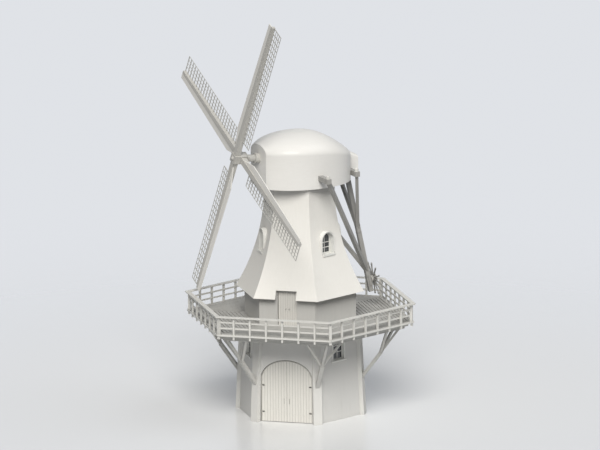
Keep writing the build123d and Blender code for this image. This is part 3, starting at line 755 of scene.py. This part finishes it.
# The leaves under the boards are painted dark so that the grooves between the boards show painted shade;
# the leaves' straps and pulls take it too.
GROOVE_SHADE_BACKING = Finish("door backing", (0.50, 0.49, 0.455), (0.39, 0.38, 0.345), relief=0.003)
FLOOR_BOARDS = Finish("floor boards", (0.45, 0.445, 0.425), (0.33, 0.325, 0.305), wear=0.7, relief=0.003)
# Its strong corner darkening is painted shade where the rails and posts cross.
GALLERY_PAINT = Finish("gallery paint", (0.71, 0.705, 0.675), (0.58, 0.57, 0.53), wear=0.45, dust=0.6,
                       painted_shade_reach=0.22, relief=0.003)
# The brackets, joists, girts and beams under the deck take the gallery's paint darkened: painted shade.
SHADED_BRACKET_PAINT = Finish("bracket paint", (0.57, 0.565, 0.54), (0.45, 0.44, 0.41), wear=0.5, dust=0.6,
                       painted_shade_reach=0.3, relief=0.003)
# The tail pole and braces are painted darker than the mill's other pale timber: painted shade.
SHADED_TAIL_PAINT = Finish("tail paint", (0.38, 0.375, 0.36), (0.29, 0.285, 0.265), wear=0.55, relief=0.003)
WINCH_PAINT = Finish("winch paint", (0.35, 0.345, 0.33), (0.26, 0.255, 0.24), wear=0.5, relief=0.002)
SAIL_PAINT = Finish("sail paint", (0.61, 0.60, 0.57), (0.50, 0.49, 0.45), wear=0.5, relief=0.002)
BOARD_PAINT = Finish("wind board paint", (0.90, 0.885, 0.85), (0.77, 0.755, 0.71), wear=0.4, relief=0.002)
LATTICE_PAINT = Finish("lattice paint", (0.56, 0.555, 0.525), (0.44, 0.43, 0.40), wear=0.4, relief=0.002)
IRON_PAINT = Finish("iron paint", (0.60, 0.59, 0.56), (0.44, 0.42, 0.385), wear=0.5, relief=0.001, coat=0.1)
OLD_GLASS = Glass()

SLOT_FINISHES: dict[str, Finish | Glass] = {
    "rendered_masonry": LIME_WALL,
    "corner_pilaster": LIME_POST,
    "stone_floor": WORN_STONE,
    "floor_boards": FLOOR_BOARDS,
    "gallery_wall": WALL_BOARDS,
    "window_casing": CASING_PAINT,
    "smock_cladding": SMOCK_PAINT,
    "window_glass": OLD_GLASS,
    "door_boards": GROOVE_SHADE_BACKING,
    "hinge_iron": IRON_PAINT,
    "cap_skin": CAP_PAINT,
    "sail_timber": SAIL_PAINT,
    "gallery_timber": GALLERY_PAINT,
    # The tail's timbers take the darkened paint as painted shade.
    "tail_timber": SHADED_TAIL_PAINT,
}

NODE_FINISHES: dict[str, Finish] = {
    # The timbers under the deck get the darker copy of the gallery paint as painted shade.
    "gallery_brackets": SHADED_BRACKET_PAINT,
    "gallery_joists": SHADED_BRACKET_PAINT,
    "gallery_girts": SHADED_BRACKET_PAINT,
    "gallery_corner_beams": SHADED_BRACKET_PAINT,
    "gallery_edge_beams": SHADED_BRACKET_PAINT,
    "wind_boards": BOARD_PAINT,
    "winch_wheel": WINCH_PAINT,
    **{f"sail_lattice_{number}": LATTICE_PAINT for number in range(1, 5)},
}


def dress_solids() -> None:
    """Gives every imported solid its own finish, or else the finish of its material slot."""
    for name, solid in sorted(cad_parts.items()):
        for slot in solid.material_slots:
            key = slot.material.name.split(".")[0] if slot.material else ""
            finish = NODE_FINISHES.get(name, SLOT_FINISHES.get(key))
            if finish is None:
                LOG.warning("%s has no finish for %s", name, key)
                continue
            slot.material = finish.material(Follow.SOLID)


# ---- Doors ----
@dataclass
class BoardedDoor:
    """Upright boards with chamfered edges on a door's outer face, cut to the door's head."""

    azimuth: float
    left: float
    right: float
    foot: float
    face: float
    head: Callable[[np.ndarray], np.ndarray]
    boards: int
    thickness: float = 0.012
    groove: float = 0.036
    chamfer: float = 0.010
    shoulder: float = 0.35
    stations: int = 9

    def bars(self) -> Bars:
        """The boards, each a chamfered strip whose stations rise to the head's curve.

        Returns:
            The boards.
        """
        pitch = (self.right - self.left) / self.boards
        half = (pitch - self.groove) / 2 + self.chamfer
        across = np.array([-half, half, half, half - self.chamfer, 0.0, self.chamfer - half, -half])
        out = np.array([0.0, 0.0, self.shoulder, 1.0, 1.0, 1.0, self.shoulder]) * self.thickness
        centres = self.left + pitch * (np.arange(self.boards) + 0.5)
        x = np.clip(centres[:, None] + across[None], self.left, self.right)[:, None]
        share = np.linspace(0, 1, self.stations)[None, :, None]
        y = self.foot + share * (self.head(x) - self.foot)
        return Bars(Elevation(self.azimuth).place(x, y, self.face + out[None, None]))


@dataclass
class CartDoors:
    """The boards of the four cart-door leaves, short of the edges so that they open past the posts."""

    half_width: float = 1.415
    centre_gap: float = 0.004
    foot: float = 0.025
    spring: float = 2.4
    rise: float = 1.04
    face: float = 2.94
    boards: int = 9

    def head(self, x: np.ndarray) -> np.ndarray:
        """The boards' head: a half ellipse over the springing, spring + rise sqrt(1 - (x / half)^2)."""
        return self.spring + self.rise * np.sqrt(np.clip(1 - (x / self.half_width) ** 2, 0, 1))

    def build(self) -> None:
        """Boards each leaf, on the leaf's own body."""
        for face in DOOR_FACES:
            for hand, side in ((-1, "left"), (1, "right")):
                edges = sorted((hand * self.centre_gap, hand * self.half_width))
                door = BoardedDoor(face.value, *edges, self.foot, self.face, self.head, self.boards)
                body = f"cart_door_{face.name.lower()}_{side}"
                make_piece(f"{body}_boards", [door.bars()], body, DOOR_PAINT)


@dataclass
class GalleryDoors:
    """The doors that lead out onto the gallery, with a turned knob on each leaf."""

    half_width: float = 0.528
    foot: float = 5.38
    height: float = 1.92
    face: float = 2.644
    boards: int = 8
    groove: float = 0.03
    knob_aside: float = 0.09
    knob_height: float = 0.98
    knob_out: float = 0.01
    knob_profile: Profile = (
        (0.0, 0.035), (0.012, 0.035), (0.016, 0.014), (0.05, 0.014), (0.055, 0.03), (0.075, 0.03),
        (0.085, 0.015),
    )

    def head(self, x: np.ndarray) -> np.ndarray:
        """The boards' level head."""
        return np.full_like(x, self.foot + self.height)

    def build(self) -> None:
        """Boards both doors, and puts a knob on each leaf beside the middle joint."""
        aside = np.array([-self.knob_aside, self.knob_aside])
        for face in DOOR_FACES:
            name = f"gallery_door_{face.name.lower()}"
            door = BoardedDoor(face.value, -self.half_width, self.half_width, self.foot, self.face,
                               self.head, self.boards, groove=self.groove)
            make_piece(f"{name}_boards", [door.bars()], "tower", UPPER_DOOR_PAINT)
            spot = Elevation(face.value)
            seats = spot.place(aside, self.foot + self.knob_height, self.face + self.knob_out)
            knobs = Bars(turned(seats, outward(face.value), self.knob_profile, sides=14), smooth=True)
            make_piece(f"{name}_handles", [knobs], "tower", IRON_PAINT)


# ---- Windows ----
@dataclass
class Casement:
    """A window's sash in front of its glass: a frame round the light, one mullion and level bars."""

    azimuth: float
    half_width: float
    foot: float
    spring: float
    arched: bool
    glass_face: float
    frame_width: float = 0.06
    frame_chamfer: float = 0.008
    depth: float = 0.045
    bar_width: float = 0.035
    bar_depth: float = 0.036
    bar_chamfer: float = 0.006
    bars_above_spring: float = 0.12
    arch_points: int = 25

    def outline(self) -> np.ndarray:
        """The middle line of the frame: up one side, over the head and down.

        Returns:
            The line as (n, 2) points.
        """
        half = self.half_width - self.frame_width / 2
        low = self.foot + self.frame_width / 2
        if self.arched:
            turn = np.linspace(0, np.pi, self.arch_points)
            head = np.stack([half * np.cos(turn), self.spring + half * np.sin(turn)], axis=-1)
        else:
            top = self.spring - self.frame_width / 2
            head = np.array([(half, top), (-half, top)])
        return np.concatenate([[(half, low)], head, [(-half, low)]])

    def frame(self) -> Bars:
        """A ring whose section is the frame's, mitred at each corner of the outline.

        Returns:
            The ring.
        """
        line = self.outline()
        before, after = line - np.roll(line, 1, axis=0), np.roll(line, -1, axis=0) - line
        normal_before = unit(np.stack([before[:, 1], -before[:, 0]], axis=-1))
        normal_after = unit(np.stack([after[:, 1], -after[:, 0]], axis=-1))
        mitre = normal_before + normal_after
        mitre /= np.sum(mitre * normal_after, axis=-1, keepdims=True)
        section = rounded_outline(self.frame_width, self.depth, self.frame_chamfer)
        flat = line[:, None] + mitre[:, None] * section[None, :, :1]
        out = self.glass_face + self.depth / 2 + section[None, :, 1]
        return Bars(Elevation(self.azimuth).place(flat[..., 0], flat[..., 1], out)[None], ring=True)

    def bars(self, levels: int) -> Bars:
        """The mullion and the level bars between the frame's sides.

        Args:
            levels: How many level bars there are.

        Returns:
            The bars.
        """
        half = self.half_width - self.frame_width
        crown = self.spring + (half if self.arched else -self.frame_width)
        low = self.foot + self.frame_width
        high = self.spring + (self.bars_above_spring if self.arched else 0.0)
        rows = low + (high - low) * np.arange(1, levels + 1) / (levels + 1)
        spot = Elevation(self.azimuth)
        out = self.glass_face + self.bar_depth / 2
        starts = spot.place(*np.array([(0.0, low), *((-half, row) for row in rows)]).T, out)
        ends = spot.place(*np.array([(0.0, crown), *((half, row) for row in rows)]).T, out)
        up = np.cross(outward(self.azimuth), unit(ends - starts))
        section = rounded_outline(self.bar_depth, self.bar_width, self.bar_chamfer)
        return Bars(carried(starts, ends, up, section))


@dataclass
class Windows:
    """Sashes, and rims on the casings, for four windows in the base and four arched ones in the smock."""

    base_half_width: float = 0.41
    base_foot: float = 3.36
    base_head: float = 4.50
    base_glass: float = 2.815
    base_rim: float = 2.968
    base_rim_beyond: float = 0.09
    base_rim_below: float = 0.02
    base_rim_width: float = 0.035
    smock_half_width: float = 0.425
    smock_foot: float = 9.19
    smock_spring: float = 9.97
    smock_glass: float = 1.8725
    smock_rim: float = 2.1985
    smock_rim_beyond: float = 0.07
    smock_rim_above: float = 0.015
    smock_rim_width: float = 0.03
    rim_depth: float = 0.02
    level_bars: int = 2

    def base_window(self, azimuth: float) -> tuple[Casement, Casement]:
        """The sash and the rim of a window in the base.

        Args:
            azimuth: The azimuth of its face.

        Returns:
            The sash and the rim.
        """
        beyond = self.base_rim_beyond
        width, foot = self.base_half_width, self.base_foot
        sash = Casement(azimuth, width, foot, self.base_head, False, self.base_glass)
        rim = Casement(azimuth, width + beyond, foot - self.base_rim_below, self.base_head + beyond, False,
                       self.base_rim, frame_width=self.base_rim_width, depth=self.rim_depth)
        return sash, rim

    def smock_window(self, azimuth: float) -> tuple[Casement, Casement]:
        """The sash and the rim of a window in the smock.

        Args:
            azimuth: The azimuth of its face.

        Returns:
            The sash and the rim.
        """
        width, foot = self.smock_half_width, self.smock_foot
        sash = Casement(azimuth, width, foot, self.smock_spring, True, self.smock_glass)
        rim = Casement(azimuth, width + self.smock_rim_beyond, foot + self.smock_rim_above,
                       self.smock_spring, True, self.smock_rim,
                       frame_width=self.smock_rim_width, depth=self.rim_depth)
        return sash, rim

    def build(self) -> None:
        """Makes both kinds of window on every window face, in one piece."""
        parts = []
        for face in WINDOW_FACES:
            low, low_rim = self.base_window(face.value)
            high, high_rim = self.smock_window(face.value)
            parts += [low.frame(), low.bars(self.level_bars), high.frame(), high.bars(self.level_bars)]
            parts += [low_rim.frame(), high_rim.frame()]
        make_piece("window_sashes", parts, "tower", CASING_PAINT)


# ---- Gallery ----
@dataclass
class GalleryDeck:
    """The deck's boards: in each of six bays they run along the outer edge, mitred at the corners."""

    inner: float = 2.884
    outer: float = 5.49
    top: float = 5.38
    thickness: float = 0.05
    chamfer: float = 0.006
    gap: float = 0.040
    mitre_gap: float = 0.012
    boards: int = 13

    def build(self) -> None:
        """Lays the boards in place of the plain deck."""
        pitch = (self.outer - self.inner + self.gap) / self.boards
        centres = self.inner + (pitch - self.gap) / 2 + pitch * np.arange(self.boards)
        section = rounded_outline(pitch - self.gap, self.thickness, self.chamfer)
        away = centres[:, None, None] + section[None, None, :, 0]
        half_length = away * np.tan(np.pi / len(Face)) - self.mitre_gap / 2
        along = half_length * np.array([-1.0, 1.0])[None, :, None]
        height = self.top - self.thickness / 2 + section[None, None, :, 1]
        parts = [Bars(Elevation(face.value).place(along, height, away)) for face in Face]
        deck = make_piece("gallery_deck_boards", parts, "tower", FLOOR_BOARDS)
        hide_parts("gallery_deck")


@dataclass
class GalleryFixings:
    """Bolts where the gallery's timbers meet."""

    fork_radius: float = 4.55
    fork_height: float = 3.5
    bolt_below_fork: float = 0.07
    half_strut: float = 0.11
    head_radius: float = 0.035
    head_height: float = 0.02

    def build(self) -> None:
        """Puts a bolt head on each side of every bracket's fork."""
        places, runs = [], []
        for azimuth in CORNERS:
            for hand in (-1, 1):
                side = along_face(azimuth) * hand
                seat = outward(azimuth) * self.fork_radius + UP * (self.fork_height - self.bolt_below_fork)
                places.append(seat + side * self.half_strut)
                runs.append(side)
        heads = bolt_heads(np.array(places), np.array(runs), self.head_radius, self.head_height)
        make_piece("bracket_bolts", [heads], "tower", IRON_PAINT)


# ---- Cap, sails and winch ----
@dataclass
class CapFrame:
    """The cap's own directions: forward along the windshaft's plan, and to its side."""

    azimuth: float = -49.2
    shaft_tilt: float = 5.6
    hub_forward: float = 3.51
    hub_height: float = 14.63

    def at(self, forward: float, sideways: float, height: float) -> np.ndarray:
        """A point from its distance forward of the axis, its offset to the side and its height."""
        return outward(self.azimuth) * forward + along_face(self.azimuth) * sideways + UP * height

    def hub(self) -> np.ndarray:
        """The middle of the sails' hub."""
        return self.at(self.hub_forward, 0.0, self.hub_height)

    def shaft(self) -> np.ndarray:
        """The windshaft's direction, out of the mill."""
        return raised(self.azimuth, self.shaft_tilt)

    def across(self, turn: float) -> np.ndarray:
        """A direction square to the windshaft, turned about it."""
        side = along_face(self.azimuth)
        return side * np.cos(np.radians(turn)) + np.cross(self.shaft(), side) * np.sin(np.radians(turn))


@dataclass
class TailPole:
    """Where the tail pole runs, below the cap."""

    cap: CapFrame = field(default_factory=CapFrame)
    head: tuple[float, float] = (-2.86, 13.21)
    foot: tuple[float, float] = (-4.33, 6.30)

    def at(self, height: float) -> np.ndarray:
        """The point on the pole's middle line at a height."""
        share = (height - self.foot[1]) / (self.head[1] - self.foot[1])
        return self.cap.at(self.foot[0] + (self.head[0] - self.foot[0]) * share, 0.0, height)

    def run(self) -> np.ndarray:
        """The direction up the pole."""
        return unit(self.at(self.head[1]) - self.at(self.foot[1]))


@dataclass
class CapFixings:
    """Turned knobs on the cross beams' ends, and iron bands where braces and beams meet the pole."""

    pole: TailPole = field(default_factory=TailPole)
    long_beam: tuple[float, float, float] = (-0.23, 3.14, 13.690)
    short_beam: tuple[float, float, float] = (-2.84, 1.36, 13.490)
    knob_radius: float = 0.115
    knob_height: float = 0.22
    knob_sunk: float = 0.01
    knob_collar: Profile = ((0.0, 1.1), (0.12, 1.1), (0.2, 0.8))
    pole_section: float = 0.24
    band_heights: tuple[float, ...] = (7.18, 7.86, 9.72, 10.14, 6.62)
    band_length: float = 0.07
    band_proud: float = 0.012
    band_chamfer: float = 0.02

    def knobs(self) -> Bars:
        """A knob on each end of both beams: a collar, given in shares of the knob's size, and a dome.

        Returns:
            The knobs.
        """
        seats = [
            self.pole.cap.at(forward, hand * half, top - self.knob_sunk)
            for forward, half, top in (self.long_beam, self.short_beam)
            for hand in (-1, 1)
        ]
        radius, height = self.knob_radius, self.knob_height
        collar = [(height * along, radius * out) for along, out in self.knob_collar]
        profile = [*collar, *dome(radius, height, foot=0.45, crown=0.1, steps=7)]
        return Bars(turned(np.array(seats), UP, profile, sides=24), smooth=True)

    def bands(self) -> Bars:
        """The bands round the pole.

        Returns:
            The bands.
        """
        middles = np.array([self.pole.at(height) for height in self.band_heights])
        half = self.pole.run() * self.band_length / 2
        size = self.pole_section + 2 * self.band_proud
        outline = rounded_outline(size, size, self.band_chamfer)
        return Bars(carried(middles - half, middles + half, outward(self.pole.cap.azimuth), outline))

    def build(self) -> None:
        """Makes the knobs and the bands, all riding on the cap."""
        make_piece("beam_knobs", [self.knobs()], "cap", GALLERY_PAINT)
        make_piece("pole_bands", [self.bands()], "cap", WINCH_PAINT)


@dataclass
class SailFixings:
    """The poll's iron bands and nose, the wedges at each stock, and bolts along the wind boards.

    Distances along the shaft, such as those of each band's two ends, are measured from the hub's middle.
    """

    cap: CapFrame = field(default_factory=CapFrame)
    sail_angle: float = 67.6
    stock_spacing: float = 0.37
    poll_width: float = 0.49
    band_spans: Profile = ((-0.27, -0.20), (0.165, 0.205), (0.528, 0.566))
    band_proud: float = 0.015
    band_chamfer: float = 0.03
    nose_start: float = 0.56
    nose_profile: Profile = ((0.0, 0.15), (0.03, 0.15), (0.035, 0.08), (0.075, 0.075), (0.09, 0.03))
    wedge_forward: float = 0.13
    wedge_out: float = 0.20
    wedge_aside: float = 0.10
    wedge_length: float = 0.30
    wedge_width: float = 0.07
    wedge_chamfer: float = 0.01
    wedge_taper: float = 0.55
    first_bolt: float = 1.5
    bolt_pitch: float = 0.96
    sail_radius: float = 8.59
    root_depth: float = 0.15
    tip_depth: float = 0.10
    bolt_radius: float = 0.036
    bolt_height: float = 0.02

    def arms(self) -> list[tuple[np.ndarray, float]]:
        """Each sail's direction out from the hub, and its stock's place along the shaft.

        Returns:
            Pairs of direction and distance, the two ends of one stock and then of the other.
        """
        stocks = ((self.sail_angle + 90.0, 0.0), (self.sail_angle, self.stock_spacing))
        return [(self.cap.across(turn + end), along) for turn, along in stocks for end in (0.0, 180.0)]

    def irons(self) -> list[Bars]:
        """The bands round the poll and the nose in front of it.

        Returns:
            The bands and the nose.
        """
        hub, shaft = self.cap.hub(), self.cap.shaft()
        starts, ends = (hub + shaft * np.array(along)[:, None] for along in zip(*self.band_spans))
        size = self.poll_width + 2 * self.band_proud
        outline = rounded_outline(size, size, self.band_chamfer)
        bands = Bars(carried(starts, ends, self.cap.across(self.sail_angle), outline))
        nose = Bars(turned(hub + shaft * self.nose_start, shaft, self.nose_profile), smooth=True)
        return [bands, nose]

    def wedges(self) -> Bars:
        """Two wedges at the root of each sail, one on each side of its stock.

        Returns:
            The wedges.
        """
        shaft = self.cap.shaft()
        starts, ends = [], []
        for arm, along in self.arms():
            root = self.cap.hub() + shaft * (along + self.wedge_forward) + arm * self.wedge_out
            for hand in (-1, 1):
                starts.append(root + np.cross(shaft, arm) * hand * self.wedge_aside)
                ends.append(starts[-1] + arm * self.wedge_length)
        outline = rounded_outline(self.wedge_width, self.wedge_width, self.wedge_chamfer)
        sizes = (1.0, self.wedge_taper)
        return Bars(carried(np.array(starts), np.array(ends), shaft, outline, sizes))

    def bolts(self) -> Bars:
        """A row of bolt heads out along the front of each sail's stock.

        Returns:
            The heads.
        """
        shaft, places = self.cap.shaft(), []
        for arm, along in self.arms():
            for distance in np.arange(self.first_bolt, self.sail_radius, self.bolt_pitch):
                depth = self.root_depth + (self.tip_depth - self.root_depth) * distance / self.sail_radius
                places.append(self.cap.hub() + shaft * (along + depth) + arm * distance)
        return bolt_heads(np.array(places), shaft, self.bolt_radius, self.bolt_height)

    def build(self) -> None:
        """Makes the ironwork of the hub, the wedges and the bolts, all riding on the sails."""
        make_piece("poll_irons", self.irons(), "sails", IRON_PAINT)
        make_piece("stock_wedges", [self.wedges()], "sails", SAIL_PAINT)
        make_piece("stock_bolts", [self.bolts()], "sails", IRON_PAINT)


@dataclass
class WinchFixings:
    """The winch's hub rings and boss, and a turned grip on the end of each spoke."""

    pole: TailPole = field(default_factory=TailPole)
    height: float = 6.96
    wheel_face: float = 0.135
    hub_length: float = 0.33
    hub_radius: float = 0.19
    ring_proud: float = 0.014
    ring_width: float = 0.04
    ring_insets: tuple[float, float] = (0.004, 0.045)
    boss_profile: Profile = ((-0.01, 0.075), (0.03, 0.075), (0.04, 0.05), (0.06, 0.02))
    radius: float = 0.95
    spokes: int = 12
    first_spoke: float = 10.0
    grip_from_tip: float = 0.13
    grip_profile: Profile = ((0.0, 0.040), (0.03, 0.050), (0.10, 0.046), (0.125, 0.030))

    def build(self) -> None:
        """Makes the winch's ironwork and grips, riding on the winch."""
        centre = self.pole.at(self.height)
        side = along_face(self.pole.cap.azimuth)
        axle = unit(np.cross(self.pole.run(), side))
        outer = self.wheel_face + self.hub_length
        first, last = self.ring_insets
        seats = centre + axle * np.array([self.wheel_face + first, outer - last])[:, None]
        ring_radius = self.hub_radius + self.ring_proud
        rings = Bars(turned(seats, axle, [(0.0, ring_radius), (self.ring_width, ring_radius)], sides=32),
                     smooth=True)
        boss = Bars(turned(centre + axle * outer, axle, self.boss_profile), smooth=True)
        make_piece("winch_irons", [rings, boss], "winch", IRON_PAINT)
        turns = np.radians(self.first_spoke + 360.0 / self.spokes * np.arange(self.spokes))[:, None]
        arms = np.cos(turns) * side + np.sin(turns) * np.cross(axle, side)
        middle = centre + axle * (self.wheel_face + self.hub_length / 2)
        seats = middle + arms * (self.radius - self.grip_from_tip)
        grips = Bars(turned(seats, arms, self.grip_profile, sides=14), smooth=True)
        make_piece("winch_grips", [grips], "winch", WINCH_PAINT)


# ---- Studio ----
@dataclass(frozen=True)
class Sun:
    """A soft sun: where it stands, how strong it is and how wide its disc is, in degrees."""

    name: str
    azimuth: float
    elevation: float
    strength: float
    spread: float
    colour: Colour

    def build(self) -> None:
        """Adds the lamp, shining from its azimuth and elevation."""
        sun = bpy.data.lights.new(self.name, "SUN")
        sun.energy = self.strength
        sun.angle = np.radians(self.spread)
        sun.color = self.colour
        lamp = bpy.data.objects.new(self.name, sun)
        bpy.context.scene.collection.objects.link(lamp)
        direction = Vector(raised(self.azimuth, self.elevation))
        lamp.matrix_world = direction.to_track_quat("Z", "Y").to_matrix().to_4x4()


@dataclass
class Studio:
    """The pale floor, the soft light and the camera, whose far clip is in multiples of its distance."""

    azimuth: float = 15.1
    elevation: float = 12.9
    roll: float = 0.38
    distance: float = 1101.3
    focal_length: float = 1200.0
    sensor: float = 36.0
    near_clip: float = 10.0
    far_clip: float = 3.0
    aim_height: float = 10.49
    aim_shift: float = 0.014
    suns: tuple[Sun, ...] = (
        Sun("front sun", 13.0, 42.0, 2.9, 32.0, (1.0, 0.975, 0.93)),
        Sun("side sun", 100.0, 58.0, 0.6, 45.0, (0.93, 0.965, 1.0)),
    )
    sky: Colour = (0.93, 0.96, 1.0)
    sky_strength: float = 0.08
    backdrop: Colour = (0.745, 0.765, 0.80)
    floor_near: Colour = (0.84, 0.85, 0.86)
    floor_far: Colour = (0.80, 0.82, 0.86)
    floor_tones: tuple[float, float] = (6.0, 30.0)
    floor_fade: tuple[float, float] = (5.0, 54.0)
    floor_roughness: float = 0.22
    floor_specular: float = 0.4
    floor_radius: float = 60.0
    floor_middle: float = 4.0
    floor_rings: int = 24
    floor_sides: int = 96
    floor_below: float = 0.001

    def build_camera(self) -> None:
        """A long lens far off, aimed at the tower's axis: its rays are nearly parallel."""
        direction = raised(self.azimuth, self.elevation)
        aim = UP * self.aim_height + along_face(self.azimuth) * self.aim_shift
        lens = bpy.data.cameras.new("camera")
        lens.sensor_width = self.sensor
        lens.lens = self.focal_length
        lens.clip_start = self.near_clip
        lens.clip_end = self.distance * self.far_clip
        camera = bpy.data.objects.new("camera", lens)
        bpy.context.scene.collection.objects.link(camera)
        facing = Vector(-direction).to_track_quat("-Z", "Y").to_matrix()
        turn = facing @ Matrix.Rotation(np.radians(-self.roll), 3, "Z")
        camera.matrix_world = Matrix.Translation(Vector(aim + direction * self.distance)) @ turn.to_4x4()
        bpy.context.scene.camera = camera

    def build_lights(self) -> None:
        """The suns, and an even sky that lights the mill dimly but is seen as the pale backdrop."""
        for sun in self.suns:
            sun.build()
        world = bpy.data.worlds.new("sky")
        bpy.context.scene.world = world
        world.use_nodes = True
        wiring = Wiring(world.node_tree)
        lighting = world.node_tree.nodes["Background"]
        wiring.feed(self.sky, lighting.inputs["Color"])
        wiring.feed(self.sky_strength, lighting.inputs["Strength"])
        seen = wiring.add("ShaderNodeBackground")
        wiring.feed(self.backdrop, seen.inputs["Color"])
        wiring.feed(1.0, seen.inputs["Strength"])
        path = wiring.add("ShaderNodeLightPath")
        direct = wiring.maths("MAXIMUM", path.outputs["Is Camera Ray"], path.outputs["Is Glossy Ray"])
        direct = wiring.maths("MAXIMUM", direct, path.outputs["Is Transmission Ray"])
        mixed = wiring.add("ShaderNodeMixShader")
        for source, socket in zip((direct, lighting.outputs[0], seen.outputs[0]), mixed.inputs):
            wiring.join(source, socket)
        wiring.join(mixed.outputs[0], world.node_tree.nodes["World Output"].inputs["Surface"])

    def build_floor(self) -> None:
        """A round floor: rings of points whose radii grow evenly, fading into the backdrop at its rim."""
        rings, sides = self.floor_rings, self.floor_sides
        radii = np.linspace(self.floor_middle, self.floor_radius, rings)
        rim = round_outline(1.0, sides)
        points = np.concatenate([(radii[:, None, None] * rim).reshape(-1, 2), [[0.0, 0.0]]])
        points = np.insert(points, 2, -self.floor_below, axis=1)
        number = np.arange(rings * sides).reshape(rings, sides)
        ahead = np.roll(number, -1, axis=1)
        quads = np.stack([number[:-1], number[1:], ahead[1:], ahead[:-1]], axis=-1).reshape(-1, 4)
        middle = np.stack([np.full(sides, rings * sides), number[0], ahead[0]], axis=-1)
        mesh = bpy.data.meshes.new("floor")
        mesh.from_pydata(points.tolist(), [], quads.tolist() + middle.tolist())
        mesh.update()
        floor = bpy.data.objects.new("floor", mesh)
        bpy.context.scene.collection.objects.link(floor)
        mesh.materials.append(self._floor_material())

    def _floor_material(self) -> bpy.types.Material:
        """A pale satin floor whose rim turns clear, so that the backdrop takes over without an edge.

        Returns:
            The material.
        """
        material, wiring, shader = new_material("studio floor")
        place = wiring.add("ShaderNodeTexCoord").outputs["Object"]
        distance = wiring.add("ShaderNodeVectorMath", operation="LENGTH")
        wiring.join(place, distance.inputs[0])
        away = distance.outputs["Value"]
        tone = wiring.blend(wiring.range(away, *self.floor_tones), self.floor_near, self.floor_far)
        wiring.join(tone, shader.inputs["Base Color"])
        fade = wiring.range(away, *self.floor_fade, to_low=1.0, to_high=0.0, kind="SMOOTHERSTEP")
        wiring.join(fade, shader.inputs["Alpha"])
        wiring.feed(self.floor_roughness, shader.inputs["Roughness"])
        wiring.feed(self.floor_specular, shader.inputs["Specular IOR Level"])
        return material

    def build(self) -> None:
        """Sets up the whole studio and the plain view of it."""
        self.build_camera()
        self.build_lights()
        self.build_floor()
        bpy.context.scene.view_settings.view_transform = "Standard"


def main() -> None:
    """Builds the sub-assemblies in order."""
    logging.basicConfig(level=logging.INFO, format="%(name)s %(message)s")
    Studio().build()
    dress_solids()
    CartDoors().build()
    GalleryDoors().build()
    Windows().build()
    GalleryDeck().build()
    GalleryFixings().build()
    CapFixings().build()
    SailFixings().build()
    WinchFixings().build()


if __name__ == "__main__":
    main()
